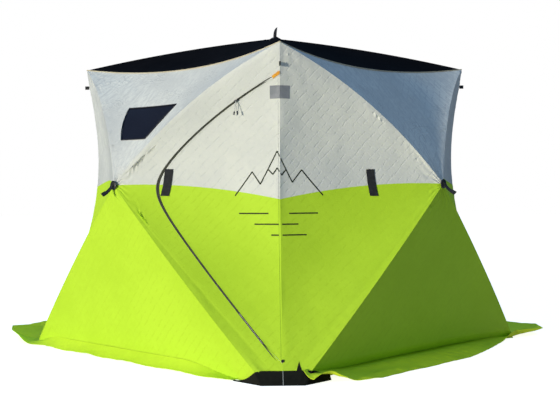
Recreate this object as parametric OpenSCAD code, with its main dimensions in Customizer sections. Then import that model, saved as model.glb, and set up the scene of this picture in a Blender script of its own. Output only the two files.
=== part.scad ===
// Pop-up ice fishing hut: a square hub shelter of quilted fabric.
// Every wall and the roof has a hub in its middle, and each hub pushes four
// poles out to the corners, so that the fabric is pulled into curved panels.
// The door is a flap in the corner between the front and the right wall.
//
// Frame: origin on the ground under the roof hub, +Z up, front wall facing -Y,
// right wall facing +X. Lengths are in millimetres.

/* [Shell] */
// Width of the roof between neighbouring top corners
roof_w = 1810; // [1700:10:1900]
// Width of the base between opposite walls, at the pole feet
base_w = 2416; // [2300:4:2520]
// Distance between opposite wall hubs
hub_span = 2734; // [2640:2:2840]
// Height of the top corners above the ground
corner_h = 1836; // [1750:4:1920]
// Height of the wall hubs above the ground
hub_h = 1048; // [1000:4:1100]
// Height of the colour change on the corner seams
colour_h = 965; // [930:5:1000]
// Rise of the roof hub above the top corners
roof_rise = 214; // [180:2:250]
// Length cut off each base corner, along the wall
base_chamfer = 138; // [110:2:170]
// Thickness of the quilted fabric
fabric_t = 6; // [5:0.5:7]

/* [Tension curves] */
// Inward bow of a corner seam
seam_bow = 210; // [180:5:235]
// Inward bow of a roof edge
edge_bow = 80; // [50:5:110]
// Sag of a roof edge
edge_sag = 70; // [50:5:90]
// Inward bow of a wall's base edge
base_bow = 40; // [20:5:60]
// Upward bow of an upper wall pole
upper_bow = 82; // [66:2:96]
// Outward bow of a lower wall pole
lower_bow = 20; // [15:1:30]
// Upward bow of a roof pole
roof_bow = 20; // [15:1:30]
// Inward dish of a panel between its poles
panel_dish = 25; // [15:1:35]

/* [Frame] */
// Diameter of a pole
pole_d = 11; // [9:0.5:12]
// Outside diameter of the cap on a pole's upper end
cap_d = 16; // [15:0.5:17]
// Length of that cap
cap_l = 45; // [35:1:55]
// Distance of a pole's line inside the fold of the fabric
pole_depth = 21; // [20:0.5:23]
// Diameter of a hub's inner body
hub_d = 58; // [54:1:64]
// Thickness of a hub's inner body
hub_t = 22; // [21:0.5:26]
// Diameter of a hub's outer button
button_d = 56; // [50:1:64]
// Height of a hub's outer button
button_h = 9; // [7:0.5:12]
// Diameter of the stud that passes through the fabric
stud_d = 20; // [16:1:20]
// Diameter of a pole's foot
foot_d = 20; // [18:1:22]
// Height of a pole's foot
foot_h = 28; // [24:1:32]

/* [Door and window] */
// Distance of the zip from the upper pole, beside the hub
zip_upper = 165; // [150:5:180]
// Distance of the zip from the lower pole, beside the hub
zip_lower = 145; // [130:5:160]
// Roundness of the zip's turn beside the hub: smaller is rounder
zip_power = 2; // [1.7:0.1:2.3]
// Narrowing of both distances towards the corner seam: 1 keeps them even
zip_taper = 0.9; // [0.85:0.01:1]
// Width of each half of the zip
zip_tape = 4; // [3:0.5:6]
// Clear gap between the two halves of the zip
zip_gap = 5; // [5:0.5:7]
// Width of the window at its top
window_top_w = 450; // [380:5:480]
// Width of the window at its bottom
window_bottom_w = 230; // [180:5:260]
// Height of the window's lower edge above the hubs
window_rise = 264; // [230:2:280]
// Height of the window, measured upright
window_h = 205; // [170:5:230]
// Thickness of the window film
film_t = 2; // [1:0.5:3]

/* [Skirt and trim] */
// Width of the snow skirt
skirt_w = 240; // [200:5:280]
// Thickness of the skirt
skirt_t = 3; // [2:0.5:4]
// Height of the skirt's waves
skirt_wave = 14; // [8:1:20]
// Lift of the skirt at its corners
skirt_curl = 110; // [80:5:140]
// Width of the front skirt where it is tucked in
tuck_w = 30; // [20:5:60]
// Height of the black sill under the door corner
sill_h = 65; // [50:5:80]
// Distance that the sill reaches out on the ground
sill_flare = 40; // [25:5:55]
// Length of the sill along each wall
sill_l = 190; // [150:5:230]
// Width of the webbing
webbing_w = 22; // [18:1:26]
// Thickness of the webbing
webbing_t = 3; // [2:0.5:4]
// Drop of a hub's pull strap
strap_l = 70; // [60:5:85]
// Reach of a hub's pull strap away from the wall
strap_reach = 80; // [50:5:90]
// Length of a corner loop
loop_l = 28; // [20:1:36]
// Width of a tie-back tab
tab_w = 42; // [35:1:50]
// Length of a tie-back tab
tab_l = 155; // [130:5:180]

/* [Hidden] */

// Colours
white_fabric = [0.84, 0.85, 0.83];
lime_fabric = [0.72, 0.90, 0.16];
black_fabric = [0.05, 0.05, 0.06];
dark_plastic = [0.08, 0.08, 0.09];
pole_grey = [0.55, 0.56, 0.58];

// Clear gap between two pieces that seat on each other
seat = 0.3;
// Walls, counted round from the front
FRONT = 0;
RIGHT = 1;
BACK = 2;
LEFT = 3;
WALLS = [FRONT, RIGHT, BACK, LEFT];

// Driving points of the front wall
roof_r = roof_w / 2;
base_r = base_w / 2;
foot_u = base_r - base_chamfer;
seam_r = base_r - base_chamfer / 2;
hub = [0, -hub_span / 2, hub_h];
roof_top = [0, 0, corner_h + roof_rise];
function top(side) = [side * roof_r, -roof_r, corner_h];
function foot(side) = [side * foot_u, -base_r, 0];

// Directions
outward = [0, -1, 0];
inward = [0, 1, 0];
upward = [0, 0, 1];
downward = [0, 0, -1];
// The upper wall poles bow up, and a little inwards
upper_way = [0, 0.2, 1];

// Inward step of a top corner for each millimetre of fabric
corner_mitre = 0.75;
function top_inward(side) = corner_mitre * [-side, 1, -1];
function seam_inward(side) = [-side, 1, 0] / sqrt(2);

function lerp(a, b, t) = a + (b - a) * t;
function unit(v) = v / norm(v);
function bulge(q) = 4 * q * (1 - q);

// Circular arc from a to b that bows towards the direction out
function arc_axis(a, b) = unit(b - a);
function arc_bow_axis(a, b, out) = unit(out - (out * arc_axis(a, b)) * arc_axis(a, b));
function arc_radius(a, b, bow) = (pow(norm(b - a) / 2, 2) + bow * bow) / (2 * bow);
function arc_half_angle(a, b, bow) = asin(norm(b - a) / 2 / arc_radius(a, b, bow));
function arc_centre(a, b, out, bow) =
    (a + b) / 2 - arc_bow_axis(a, b, out) * (arc_radius(a, b, bow) - bow);
function arc_point(a, b, out, bow, t) =
    let (angle = (2 * t - 1) * arc_half_angle(a, b, bow))
    arc_centre(a, b, out, bow) + arc_radius(a, b, bow)
        * (sin(angle) * arc_axis(a, b) + cos(angle) * arc_bow_axis(a, b, out));
function arc_start_direction(a, b, out, bow) =
    let (angle = arc_half_angle(a, b, bow))
    cos(angle) * arc_axis(a, b) + sin(angle) * arc_bow_axis(a, b, out);

// Folds and edges of the fabric. deep is the distance inside the outer face.
function upper_fold(side, t, deep) =
    arc_point(hub, top(side), upper_way, upper_bow, t)
        + deep * lerp(inward, top_inward(side), t);
function lower_fold(side, t, deep) =
    arc_point(hub, foot(side), outward, lower_bow, t) + deep * inward;
function roof_fold(side, t, deep) =
    arc_point(roof_top, top(side), upward, roof_bow, t)
        + deep * lerp(downward, top_inward(side), t);
function roof_edge(q, deep) =
    [(2 * q - 1) * roof_r, edge_bow * bulge(q) - roof_r, corner_h - edge_sag * bulge(q)]
        + deep * lerp(top_inward(-1), top_inward(1), q);
function base_edge(q, deep) =
    [(2 * q - 1) * foot_u, base_bow * bulge(q) - base_r, 0] + deep * inward;

// Corner seam from the top corner, q = 0, down to the ground, q = 1
seam_power = 1.2;
function seam_at(q) =
    lerp(roof_r, seam_r, q) - seam_bow / sqrt(2) * pow(bulge(q), seam_power);
function seam(side, q, deep) =
    [side * seam_at(q), -seam_at(q), (1 - q) * corner_h]
        + deep * lerp(top_inward(side), seam_inward(side), q);

// Outer edge of a side panel: the corner seam, then the cut corner on the ground
seam_share = 0.95;
function side_edge(side, s, deep) =
    s <= seam_share
        ? seam(side, s / seam_share, deep)
        : lerp(seam(side, 1, deep), foot(side) + deep * inward,
               (s - seam_share) / (1 - seam_share));
colour_s = seam_share * (1 - colour_h / corner_h);

// Panels as patches: s runs along the outer edge, t from the hub to that edge
function dish(s, t) = panel_dish * bulge(s) * 6.75 * t * t * (1 - t);
function patch(first, second, edge, edge_first, edge_second, s, t) =
    lerp(first, second, s) + t * (edge - lerp(edge_first, edge_second, s));
top_panel_point = function(s, t, deep)
    patch(upper_fold(-1, t, deep), upper_fold(1, t, deep), roof_edge(s, deep),
          roof_edge(0, deep), roof_edge(1, deep), s, t) + dish(s, t) * inward;
bottom_panel_point = function(s, t, deep)
    patch(lower_fold(-1, t, deep), lower_fold(1, t, deep), base_edge(s, deep),
          base_edge(0, deep), base_edge(1, deep), s, t) + dish(s, t) * inward;
roof_panel_point = function(s, t, deep)
    patch(roof_fold(-1, t, deep), roof_fold(1, t, deep), roof_edge(s, deep),
          roof_edge(0, deep), roof_edge(1, deep), s, t) + dish(s, t) * downward;
function side_panel_point(side) = function(s, t, deep)
    patch(upper_fold(side, t, deep), lower_fold(side, t, deep), side_edge(side, s, deep),
          side_edge(side, 0, deep), side_edge(side, 1, deep), s, t)
        + dish(s, t) * seam_inward(side);

// The panels leave a small hole at each hub for its stud
hub_hole_t = 0.0135;
edge_length = norm(top(1) - foot(1));
radial_length = norm(top(1) - hub);
edge_t = 1 - seat / 2 / radial_length;
start_at_hub = function(s) hub_hole_t;
end_at_edge = function(s) edge_t;
function even_steps(from, to, count) = [for (i = [0 : count]) lerp(from, to, i / count)];

// Sheet of fabric on a patch, between two depths inside its outer face
module sheet(point, s_values, t_from, t_to, t_steps, outer, inner, flip = false) {
    last = len(s_values) - 1;
    columns = t_steps + 1;
    layer = len(s_values) * columns;
    function inset(i, t) = (i == 0 ? 1 : i == last ? -1 : 0) * seat / 2 / (t * edge_length);
    function at(i, j, deep) =
        let (s = s_values[i], t = lerp(t_from(s), t_to(s), j / t_steps))
        point(s + inset(i, t), t, deep);
    points = [for (deep = [outer, inner], i = [0 : last], j = [0 : t_steps]) at(i, j, deep)];
    function id(k, i, j) = k * layer + i * columns + j;
    function quad(a, b, c, d) = [[a, b, c], [a, c, d]];
    groups = [
        for (i = [0 : last - 1], j = [0 : t_steps - 1])
            quad(id(0, i, j), id(0, i, j + 1), id(0, i + 1, j + 1), id(0, i + 1, j)),
        for (i = [0 : last - 1], j = [0 : t_steps - 1])
            quad(id(1, i, j), id(1, i + 1, j), id(1, i + 1, j + 1), id(1, i, j + 1)),
        for (i = [0 : last - 1])
            quad(id(0, i + 1, 0), id(1, i + 1, 0), id(1, i, 0), id(0, i, 0)),
        for (i = [0 : last - 1])
            quad(id(0, i, t_steps), id(1, i, t_steps), id(1, i + 1, t_steps), id(0, i + 1, t_steps)),
        for (j = [0 : t_steps - 1])
            quad(id(0, 0, j), id(1, 0, j), id(1, 0, j + 1), id(0, 0, j + 1)),
        for (j = [0 : t_steps - 1])
            quad(id(0, last, j + 1), id(1, last, j + 1), id(1, last, j), id(0, last, j))
    ];
    faces = [for (group = groups, face = group) flip ? [face[2], face[1], face[0]] : face];
    polyhedron(points, faces);
}

module on_wall(wall) {
    rotate([0, 0, 90 * wall]) children();
}

// Steps of the panel meshes
edge_steps = 10;
half_steps = 5;
radial_steps = 7;

module top_panel() {
    sheet(top_panel_point, even_steps(0, 1, edge_steps), start_at_hub, end_at_edge,
          radial_steps, 0, fabric_t);
}

module bottom_panel() {
    sheet(bottom_panel_point, even_steps(0, 1, edge_steps), start_at_hub, end_at_edge,
          radial_steps, 0, fabric_t, flip = true);
}

module side_panel_upper(side) {
    sheet(side_panel_point(side), even_steps(0, colour_s, half_steps), start_at_hub, end_at_edge,
          radial_steps, 0, fabric_t, flip = side < 0);
}

lower_s = concat(even_steps(colour_s, seam_share, half_steps), [1]);
module side_panel_lower(side) {
    sheet(side_panel_point(side), lower_s, start_at_hub, end_at_edge,
          radial_steps, 0, fabric_t, flip = side < 0);
}

module front_top_panel() {
    color(white_fabric)
    difference() {
        top_panel();
        window_prism(0);
    }
}

module plain_top_panel(wall) {
    color(white_fabric) on_wall(wall) top_panel();
}

module plain_bottom_panel(wall) {
    color(lime_fabric) on_wall(wall) bottom_panel();
}

// Both halves of a corner, either side of its seam. wall lies to the seam's left.
module corner_upper(wall) {
    color(white_fabric) {
        on_wall(wall) side_panel_upper(1);
        on_wall(wall + 1) side_panel_upper(-1);
    }
}

module corner_lower(wall) {
    color(lime_fabric) {
        on_wall(wall) side_panel_lower(1);
        on_wall(wall + 1) side_panel_lower(-1);
    }
}

module roof_panels() {
    color(black_fabric)
    for (wall = WALLS)
        on_wall(wall)
        sheet(roof_panel_point, even_steps(0, 1, edge_steps), start_at_hub, end_at_edge,
              radial_steps, 0, fabric_t, flip = true);
}

// Window: a four-sided pane in the front top panel, above the hub
window_z = hub_h + window_rise;
module window_outline(inset) {
    low = window_bottom_w / 2 - inset;
    high = window_top_w / 2 - inset;
    polygon([
        [-low, window_z + inset], [low, window_z + inset],
        [high, window_z + window_h - inset], [-high, window_z + window_h - inset]
    ]);
}

module window_prism(inset) {
    rotate([90, 0, 0])
    linear_extrude(hub_span)
    window_outline(inset);
}

module front_window() {
    color(dark_plastic)
    intersection() {
        sheet(top_panel_point, even_steps(0, 1, edge_steps), start_at_hub, end_at_edge,
              radial_steps, (fabric_t - film_t) / 2, (fabric_t + film_t) / 2);
        window_prism(seat);
    }
}

// Door: the zip runs beside both poles of the front wall's right-hand side panel.
// away is the distance from the zip's middle line, into the door.
door_side = 1;
pole_angle = acos(unit(top(1) - hub) * unit(foot(1) - hub));
foot_reach = norm(foot(1) - hub) * sin(pole_angle);
top_reach = norm(top(1) - hub) * sin(pole_angle);
function zip_t(s, away) =
    pow(pow((zip_upper + away) / foot_reach / pow(s, zip_taper), zip_power)
        + pow((zip_lower + away) / top_reach / pow(1 - s, zip_taper), zip_power), 1 / zip_power);
tip_t = 0.97;
function zip_top_s(away, t, low = 0.02, high = colour_s, left = 24) =
    let (middle = (low + high) / 2)
    left == 0 ? middle
        : zip_t(middle, away) > t ? zip_top_s(away, t, middle, high, left - 1)
        : zip_top_s(away, t, low, middle, left - 1);
function zip_bottom_s(away, t, low = colour_s, high = 0.98, left = 24) =
    let (middle = (low + high) / 2)
    left == 0 ? middle
        : zip_t(middle, away) > t ? zip_bottom_s(away, t, low, middle, left - 1)
        : zip_bottom_s(away, t, middle, high, left - 1);
function upper_zip_steps(from, count) =
    [for (i = [0 : count]) from * pow(colour_s / from, i / count)];
function lower_zip_steps(to, count) =
    [for (i = [0 : count]) 1 - (1 - colour_s) * pow((1 - to) / (1 - colour_s), i / count)];
zip_steps = 9;
flap_steps = 5;
fabric_away = zip_gap / 2 + zip_tape + seat;
along_zip = function(away) function(s) min(edge_t, zip_t(s, away));

// The surround has its steps beside the zip where the zip's own outer half has them
module door_surround_upper() {
    kink = zip_top_s(-fabric_away, edge_t);
    beside_zip = upper_zip_steps(zip_top_s(-zip_gap / 2, tip_t), zip_steps);
    color(white_fabric)
    sheet(side_panel_point(door_side), concat([0, kink / 2, kink], beside_zip),
          start_at_hub, along_zip(-fabric_away), radial_steps, 0, fabric_t);
}

module door_surround_lower() {
    kink = zip_bottom_s(-fabric_away, edge_t);
    beside_zip = lower_zip_steps(zip_bottom_s(-zip_gap / 2, tip_t), zip_steps);
    color(lime_fabric)
    sheet(side_panel_point(door_side), concat(beside_zip, [kink, seam_share, 1]),
          start_at_hub, along_zip(-fabric_away), radial_steps, 0, fabric_t);
}

module door_corner_upper() {
    color(white_fabric) on_wall(RIGHT) side_panel_upper(-1);
}

module door_corner_lower() {
    color(lime_fabric) on_wall(RIGHT) side_panel_lower(-1);
}

flap_top_s = zip_top_s(fabric_away, tip_t);
flap_bottom_s = zip_bottom_s(fabric_away, tip_t);

module door_flap_upper() {
    color(white_fabric)
    sheet(side_panel_point(door_side), upper_zip_steps(flap_top_s, zip_steps),
          along_zip(fabric_away), end_at_edge, flap_steps, 0, fabric_t);
}

module door_flap_lower() {
    color(lime_fabric)
    sheet(side_panel_point(door_side), lower_zip_steps(flap_bottom_s, zip_steps),
          along_zip(fabric_away), end_at_edge, flap_steps, 0, fabric_t);
}

// One half of the zip, a strip along the cut edge of the fabric
module zip_strip(near, far) {
    from = zip_top_s(far, tip_t);
    to = zip_bottom_s(far, tip_t);
    sheet(side_panel_point(door_side),
          joined(upper_zip_steps(from, zip_steps), lower_zip_steps(to, zip_steps)),
          along_zip(near), along_zip(far), 1, -webbing_t / 6, fabric_t);
}

module surround_zip() {
    color(dark_plastic) zip_strip(-zip_gap / 2 - zip_tape, -zip_gap / 2);
}

module door_zip() {
    color(dark_plastic) zip_strip(zip_gap / 2, zip_gap / 2 + zip_tape);
}

// Tie-back tabs across the colour change: one beside the zip on the flap, one on
// the right wall. Each is cut from a thin sheet that lies on the panel's own mesh.
door_tab_t = 0.367;
door_tab_lean = 10;
wall_tab_t = 0.475;
tab_rise = 14;
module tab_block(side, t, lean) {
    middle = side_panel_point(side)(colour_s, t, 0);
    translate(middle + [0, 0, tab_rise])
    rotate([0, lean, 0])
    cube([tab_w, base_r, tab_l], center = true);
}

function joined(first, second) = concat([for (i = [0 : len(first) - 2]) first[i]], second);
module door_tab() {
    steps = joined(upper_zip_steps(flap_top_s, zip_steps), lower_zip_steps(flap_bottom_s, zip_steps));
    color(black_fabric)
    intersection() {
        sheet(side_panel_point(door_side), steps, along_zip(fabric_away), end_at_edge, flap_steps,
              -seat - webbing_t, -seat);
        tab_block(door_side, door_tab_t, door_tab_lean);
    }
}

module wall_tab() {
    color(black_fabric)
    on_wall(RIGHT)
    intersection() {
        sheet(side_panel_point(-1), joined(even_steps(0, colour_s, half_steps), lower_s),
              start_at_hub, end_at_edge, radial_steps, -seat - webbing_t, -seat, flip = true);
        tab_block(-1, wall_tab_t, 0);
    }
}

// Rod along a bowed line, between two distances from its ends
module bowed_rod(a, b, out, bow, d, from, to) {
    bow_axis = arc_bow_axis(a, b, out);
    axis = arc_axis(a, b);
    normal = cross(bow_axis, axis);
    centre = arc_centre(a, b, out, bow);
    radius = arc_radius(a, b, bow);
    half = arc_half_angle(a, b, bow);
    first = -half + from / radius * 180 / PI;
    last = half - to / radius * 180 / PI;
    multmatrix([
        [bow_axis.x, axis.x, normal.x, centre.x],
        [bow_axis.y, axis.y, normal.y, centre.y],
        [bow_axis.z, axis.z, normal.z, centre.z],
        [0, 0, 0, 1]
    ])
    rotate([0, 0, first])
    rotate_extrude(angle = last - first, $fn = 96)
    translate([radius, 0])
    circle(d = d, $fn = 24);
}

// A pole lies inside its fold. Each has a start at the hub and an end at a corner.
roof_pole_depth = pole_depth + 6;
corner_depth = 8;
function sunk(a, b, out, depth) = -depth * arc_bow_axis(a, b, out);
function upper_start(side) = hub + sunk(hub, top(side), outward, pole_depth);
function upper_end(side) =
    top(side) + sunk(hub, top(side), outward, pole_depth) + corner_depth * top_inward(side);
function lower_start(side) = hub + sunk(hub, foot(side), outward, pole_depth);
function lower_end(side) = foot(side) + [-side * foot_d * 0.7, pole_depth + foot_d / 2, foot_h / 2];
function roof_start(side) = roof_top + sunk(roof_top, top(side), upward, roof_pole_depth);
function roof_end(side) =
    top(side) + sunk(roof_top, top(side), upward, roof_pole_depth) + corner_depth * top_inward(side);

// Room at a pole's ends: inside the hub, and at the corner
hub_socket = hub_d / 2 - 14;
upper_socket = hub_d / 2 - 5;
corner_room = 45;
cap_wall = 6;
socket_gap = 0.5;

module upper_pole(side, d, from, to) {
    bowed_rod(upper_start(side), upper_end(side), upper_way, upper_bow, d, from, to);
}

module roof_pole(d, from, to) {
    bowed_rod(roof_start(1), roof_end(1), upward, roof_bow, d, from, to);
}

module lower_pole(side, d, from, to) {
    bowed_rod(lower_start(side), lower_end(side), outward, lower_bow, d, from, to);
}

module wall_poles(wall) {
    color(pole_grey)
    on_wall(wall)
    for (side = [-1, 1]) {
        upper_pole(side, pole_d, upper_socket, corner_room);
        lower_pole(side, pole_d, hub_socket, 0);
    }
}

module roof_poles() {
    color(pole_grey)
    for (wall = WALLS)
        on_wall(wall) roof_pole(pole_d, hub_socket, corner_room);
}

function cap_from(length) = length - corner_room - cap_l + cap_wall;
module pole_caps() {
    upper_length = 2 * arc_half_angle(upper_start(1), upper_end(1), upper_bow) * PI / 180
        * arc_radius(upper_start(1), upper_end(1), upper_bow);
    roof_length = 2 * arc_half_angle(roof_start(1), roof_end(1), roof_bow) * PI / 180
        * arc_radius(roof_start(1), roof_end(1), roof_bow);
    color(dark_plastic)
    for (wall = WALLS)
        on_wall(wall) {
            for (side = [-1, 1])
                difference() {
                    upper_pole(side, cap_d, cap_from(upper_length), corner_room - cap_wall);
                    upper_pole(side, pole_d + seat, cap_from(upper_length) - 1, corner_room - seat);
                }
            difference() {
                roof_pole(cap_d, cap_from(roof_length), corner_room - cap_wall);
                roof_pole(pole_d + seat, cap_from(roof_length) - 1, corner_room - seat);
            }
        }
}

// Feet: short posts under the lower poles, with a slanting socket
module straight_rod(from, to, d) {
    axis = unit(to - from);
    translate(from)
    rotate([0, acos(axis.z), atan2(axis.y, axis.x)])
    cylinder(h = norm(to - from), d = d, $fn = 32);
}

module pole_feet() {
    color(dark_plastic)
    for (wall = WALLS)
        on_wall(wall)
        for (side = [-1, 1]) {
            start = lower_start(side);
            end = lower_end(side);
            back = arc_start_direction(end, start, outward, lower_bow);
            difference() {
                translate([end.x, end.y, 0]) cylinder(h = foot_h, d = foot_d, $fn = 48);
                straight_rod(end - seat * back, end + 2 * foot_h * back, pole_d + 2 * socket_gap);
            }
        }
}

// Hub: inner body with pole sockets, a stud through the fabric and an outer button.
// It is drawn with its axis along +Z and the outer face of the fabric at z = 0.
module hub_shape(body_depth, slope) {
    rim = button_d / 2;
    drop = rim * tan(slope);
    translate([0, 0, -body_depth - hub_t]) cylinder(h = hub_t, d = hub_d, $fn = 64);
    translate([0, 0, -body_depth - 1]) cylinder(h = body_depth + 1 + button_h / 2, d = stud_d, $fn = 48);
    rotate_extrude($fn = 64)
    polygon(concat(
        [[0, 2 * seat], [rim, 2 * seat - drop]],
        [for (i = [0 : 6]) [rim * cos(15 * i),
                            2 * seat + 2 - drop * (1 - i / 6) + (button_h - 2) * sin(15 * i)]]
    ));
}

hub_dip_way = side_panel_point(1)(0.5, 2 * hub_hole_t, 0) - hub;
hub_dip = hub_dip_way.y / norm([hub_dip_way.x, hub_dip_way.z]);
wall_body_depth = fabric_t + 2 + hub_d / 2 * hub_dip;
roof_start_way = arc_start_direction(roof_top, top(1), upward, roof_bow);
roof_slope = atan2(-roof_start_way.z, norm([roof_start_way.x, roof_start_way.y]));
roof_body_depth = fabric_t + 3 + hub_d / 2 * (roof_rise + edge_sag) / (roof_r - edge_bow);

module wall_hubs() {
    color(dark_plastic)
    for (wall = WALLS)
        on_wall(wall)
        difference() {
            translate(hub) rotate([90, 0, 0]) hub_shape(wall_body_depth, 0);
            for (side = [-1, 1]) {
                hub_hole(upper_start(side), upper_end(side), upper_way, upper_bow, upper_socket);
                hub_hole(lower_start(side), lower_end(side), outward, lower_bow, hub_socket);
            }
        }
}

module hub_hole(a, b, out, bow, socket) {
    along = arc_start_direction(a, b, out, bow);
    straight_rod(a + (socket - seat) * along, a + hub_d * along, pole_d + 2 * socket_gap);
}

module roof_hub() {
    color(dark_plastic)
    difference() {
        translate(roof_top) hub_shape(roof_body_depth, roof_slope);
        for (wall = WALLS)
            on_wall(wall) hub_hole(roof_start(1), roof_end(1), upward, roof_bow, hub_socket);
    }
}

// Pull straps on the hub buttons: hanging on the walls, standing on the roof
strap_steps = 8;
roof_strap_reach = strap_reach / 2;
module pull_strap(reach) {
    function curve(q) = [reach * q * q, -strap_l * q + webbing_w / 2];
    near = [for (i = [0 : strap_steps]) curve(i / strap_steps)];
    far = [for (i = [strap_steps : -1 : 0]) curve(i / strap_steps) + [webbing_t, 0]];
    translate([-webbing_w / 2, 0, 0])
    rotate([90, 0, 90])
    linear_extrude(webbing_w)
    polygon([for (p = concat(near, far)) [-p.x, p.y]]);
}

strap_out = button_h + 3 * seat;
module hub_pull_straps() {
    color(black_fabric) {
        for (wall = WALLS)
            on_wall(wall) translate(hub + [0, -strap_out, 0]) pull_strap(strap_reach);
        translate(roof_top + [0, 0, strap_out + webbing_w / 2])
        rotate([180, 0, 45])
        pull_strap(roof_strap_reach);
    }
}

// Webbing loops on the corner seams, just above the top of the door
loop_q = 0.065;
module corner_loops() {
    reach = norm([1, 1]) * seam_at(loop_q - webbing_w / 2 / corner_h);
    color(black_fabric)
    for (wall = WALLS)
        rotate([0, 0, 90 * wall - 45])
        translate([reach + 2 * seat, -webbing_t / 2, (1 - loop_q) * corner_h - webbing_w / 2])
        cube([loop_l, webbing_t, webbing_w]);
}

// Snow skirt: a strip on the ground along each wall, with waves and lifted corners.
// It is drawn as ribs, each from an inner point at the wall to an outer point.
skirt_steps = 18;
skirt_rows = 3;
skirt_waves = 5;
skirt_mitre = skirt_w * tan(22.5);
skirt_gap = 1.4;
corner_spread = 150;
// Length over which the front skirt narrows from its free corner
tuck_run = 420;
function corner_lift(u) = skirt_curl * exp(-pow((foot_u - abs(u)) / corner_spread, 2));
function wave_lift(u) = skirt_wave * (0.5 + 0.5 * cos(180 * skirt_waves * u / foot_u));
function ease(x) = let (y = min(1, max(0, x))) y * y * (3 - 2 * y);
function wall_rib(u, left, right, tucked) =
    let (full = u < 0 ? left : right,
         tuck = tucked ? ease((u + foot_u) / tuck_run) : 0,
         stretch = full ? 1 + (1 - tuck) * skirt_mitre / foot_u : 1,
         inner_y = base_bow * bulge(u / foot_u / 2 + 0.5) - base_r - skirt_gap)
    [[u, inner_y],
     [u * stretch, lerp(-base_r - skirt_w, inner_y - tuck_w, tuck)],
     (1 - tuck) * (wave_lift(u) + (full ? corner_lift(u) : 0))];
function corner_rib(side, r) =
    let (reach = seam_r + skirt_w / sqrt(2), start = seam_r + skirt_gap / sqrt(2))
    [lerp([side * foot_u, -base_r - skirt_gap], [side * start, -start], r),
     lerp([side * (foot_u + skirt_mitre), -base_r - skirt_w], [side * reach, -reach], r),
     wave_lift(foot_u) + skirt_curl];
function skirt_ribs(left_end, right_end, tucked) =
    let (left = left_end == -foot_u, right = right_end == foot_u, near = 1 - 2 * seat / base_chamfer)
    concat(
        left ? [corner_rib(-1, near), corner_rib(-1, 0.5)] : [],
        [for (u = even_steps(left_end, right_end, skirt_steps)) wall_rib(u, left, right, tucked)],
        right ? [corner_rib(1, 0.5), corner_rib(1, near)] : []
    );

module skirt(left_end, right_end, tucked) {
    ribs = skirt_ribs(left_end, right_end, tucked);
    last = len(ribs) - 1;
    columns = skirt_rows + 1;
    layer = len(ribs) * columns;
    function at(rib, w, lift) =
        let (flat = lerp(rib[0], rib[1], w)) [flat.x, flat.y, rib[2] * w * w + lift];
    points = [for (lift = [skirt_t, 0], rib = ribs, j = [0 : skirt_rows]) at(rib, j / skirt_rows, lift)];
    function id(k, i, j) = k * layer + i * columns + j;
    function quad(a, b, c, d) = [[a, b, c], [a, c, d]];
    groups = [
        for (i = [0 : last - 1], j = [0 : skirt_rows - 1])
            quad(id(0, i, j), id(0, i + 1, j), id(0, i + 1, j + 1), id(0, i, j + 1)),
        for (i = [0 : last - 1], j = [0 : skirt_rows - 1])
            quad(id(1, i, j), id(1, i, j + 1), id(1, i + 1, j + 1), id(1, i + 1, j)),
        for (i = [0 : last - 1])
            quad(id(0, i, 0), id(1, i, 0), id(1, i + 1, 0), id(0, i + 1, 0)),
        for (i = [0 : last - 1])
            quad(id(0, i + 1, skirt_rows), id(1, i + 1, skirt_rows), id(1, i, skirt_rows),
                 id(0, i, skirt_rows)),
        for (j = [0 : skirt_rows - 1])
            quad(id(0, 0, j + 1), id(1, 0, j + 1), id(1, 0, j), id(0, 0, j)),
        for (j = [0 : skirt_rows - 1])
            quad(id(0, last, j), id(1, last, j), id(1, last, j + 1), id(0, last, j + 1))
    ];
    polyhedron(points, [for (group = groups, face = group) face]);
}

skirt_end = foot_u - sill_l - skirt_gap;
module wall_skirt(wall) {
    left_end = wall == RIGHT ? -skirt_end : -foot_u;
    right_end = wall == FRONT ? skirt_end : foot_u;
    color(lime_fabric) on_wall(wall) skirt(left_end, right_end, wall == FRONT);
}

// Black sill: an apron round the foot of the door corner that flares to the ground
sill_gap = 2.4;
module door_sill() {
    // Points of the wall's outer face at the sill's upper edge and on the ground
    up_t = 1 - sill_h / hub_h;
    end_share = (foot_u - sill_l) / (2 * foot_u);
    high_end = bottom_panel_point(0.5 + end_share / up_t, up_t, 0);
    high_fold = lower_fold(1, up_t, 0);
    high_seam = seam(1, 1 - sill_h / corner_h, 0);
    low_end = bottom_panel_point(0.5 + end_share, 1, 0);
    function path(end, fold, middle, out) =
        let (far = [end.x, end.y - out], near = [fold.x + out * tan(22.5), fold.y - out])
        [far, near, [middle.x, middle.y] + out / sqrt(2) * [1, -1], [-near.y, -near.x], [-far.y, -far.x]];
    top_in = path(high_end, high_fold, high_seam, sill_gap);
    top_out = path(high_end, high_fold, high_seam, sill_gap + webbing_t);
    low_in = path(low_end, foot(1), seam(1, 1, 0), sill_flare);
    low_out = path(low_end, foot(1), seam(1, 1, 0), sill_flare + webbing_t);
    last = len(top_in) - 1;
    points = [
        for (p = low_out) [p.x, p.y, 0],
        for (p = top_out) [p.x, p.y, sill_h],
        for (p = top_in) [p.x, p.y, sill_h],
        for (p = low_in) [p.x, p.y, 0]
    ];
    function id(ring, i) = ring * (last + 1) + i;
    faces = [
        for (i = [0 : last - 1], ring = [0 : 3])
            for (face = let (a = id(ring, i), b = id(ring, i + 1),
                             c = id((ring + 1) % 4, i + 1), d = id((ring + 1) % 4, i))
                        [[d, c, a], [c, b, a]])
                face,
        [id(2, 0), id(1, 0), id(0, 0)], [id(3, 0), id(2, 0), id(0, 0)],
        [id(0, last), id(1, last), id(2, last)], [id(0, last), id(2, last), id(3, last)]
    ];
    color(black_fabric) polyhedron(points, faces);
}

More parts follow.
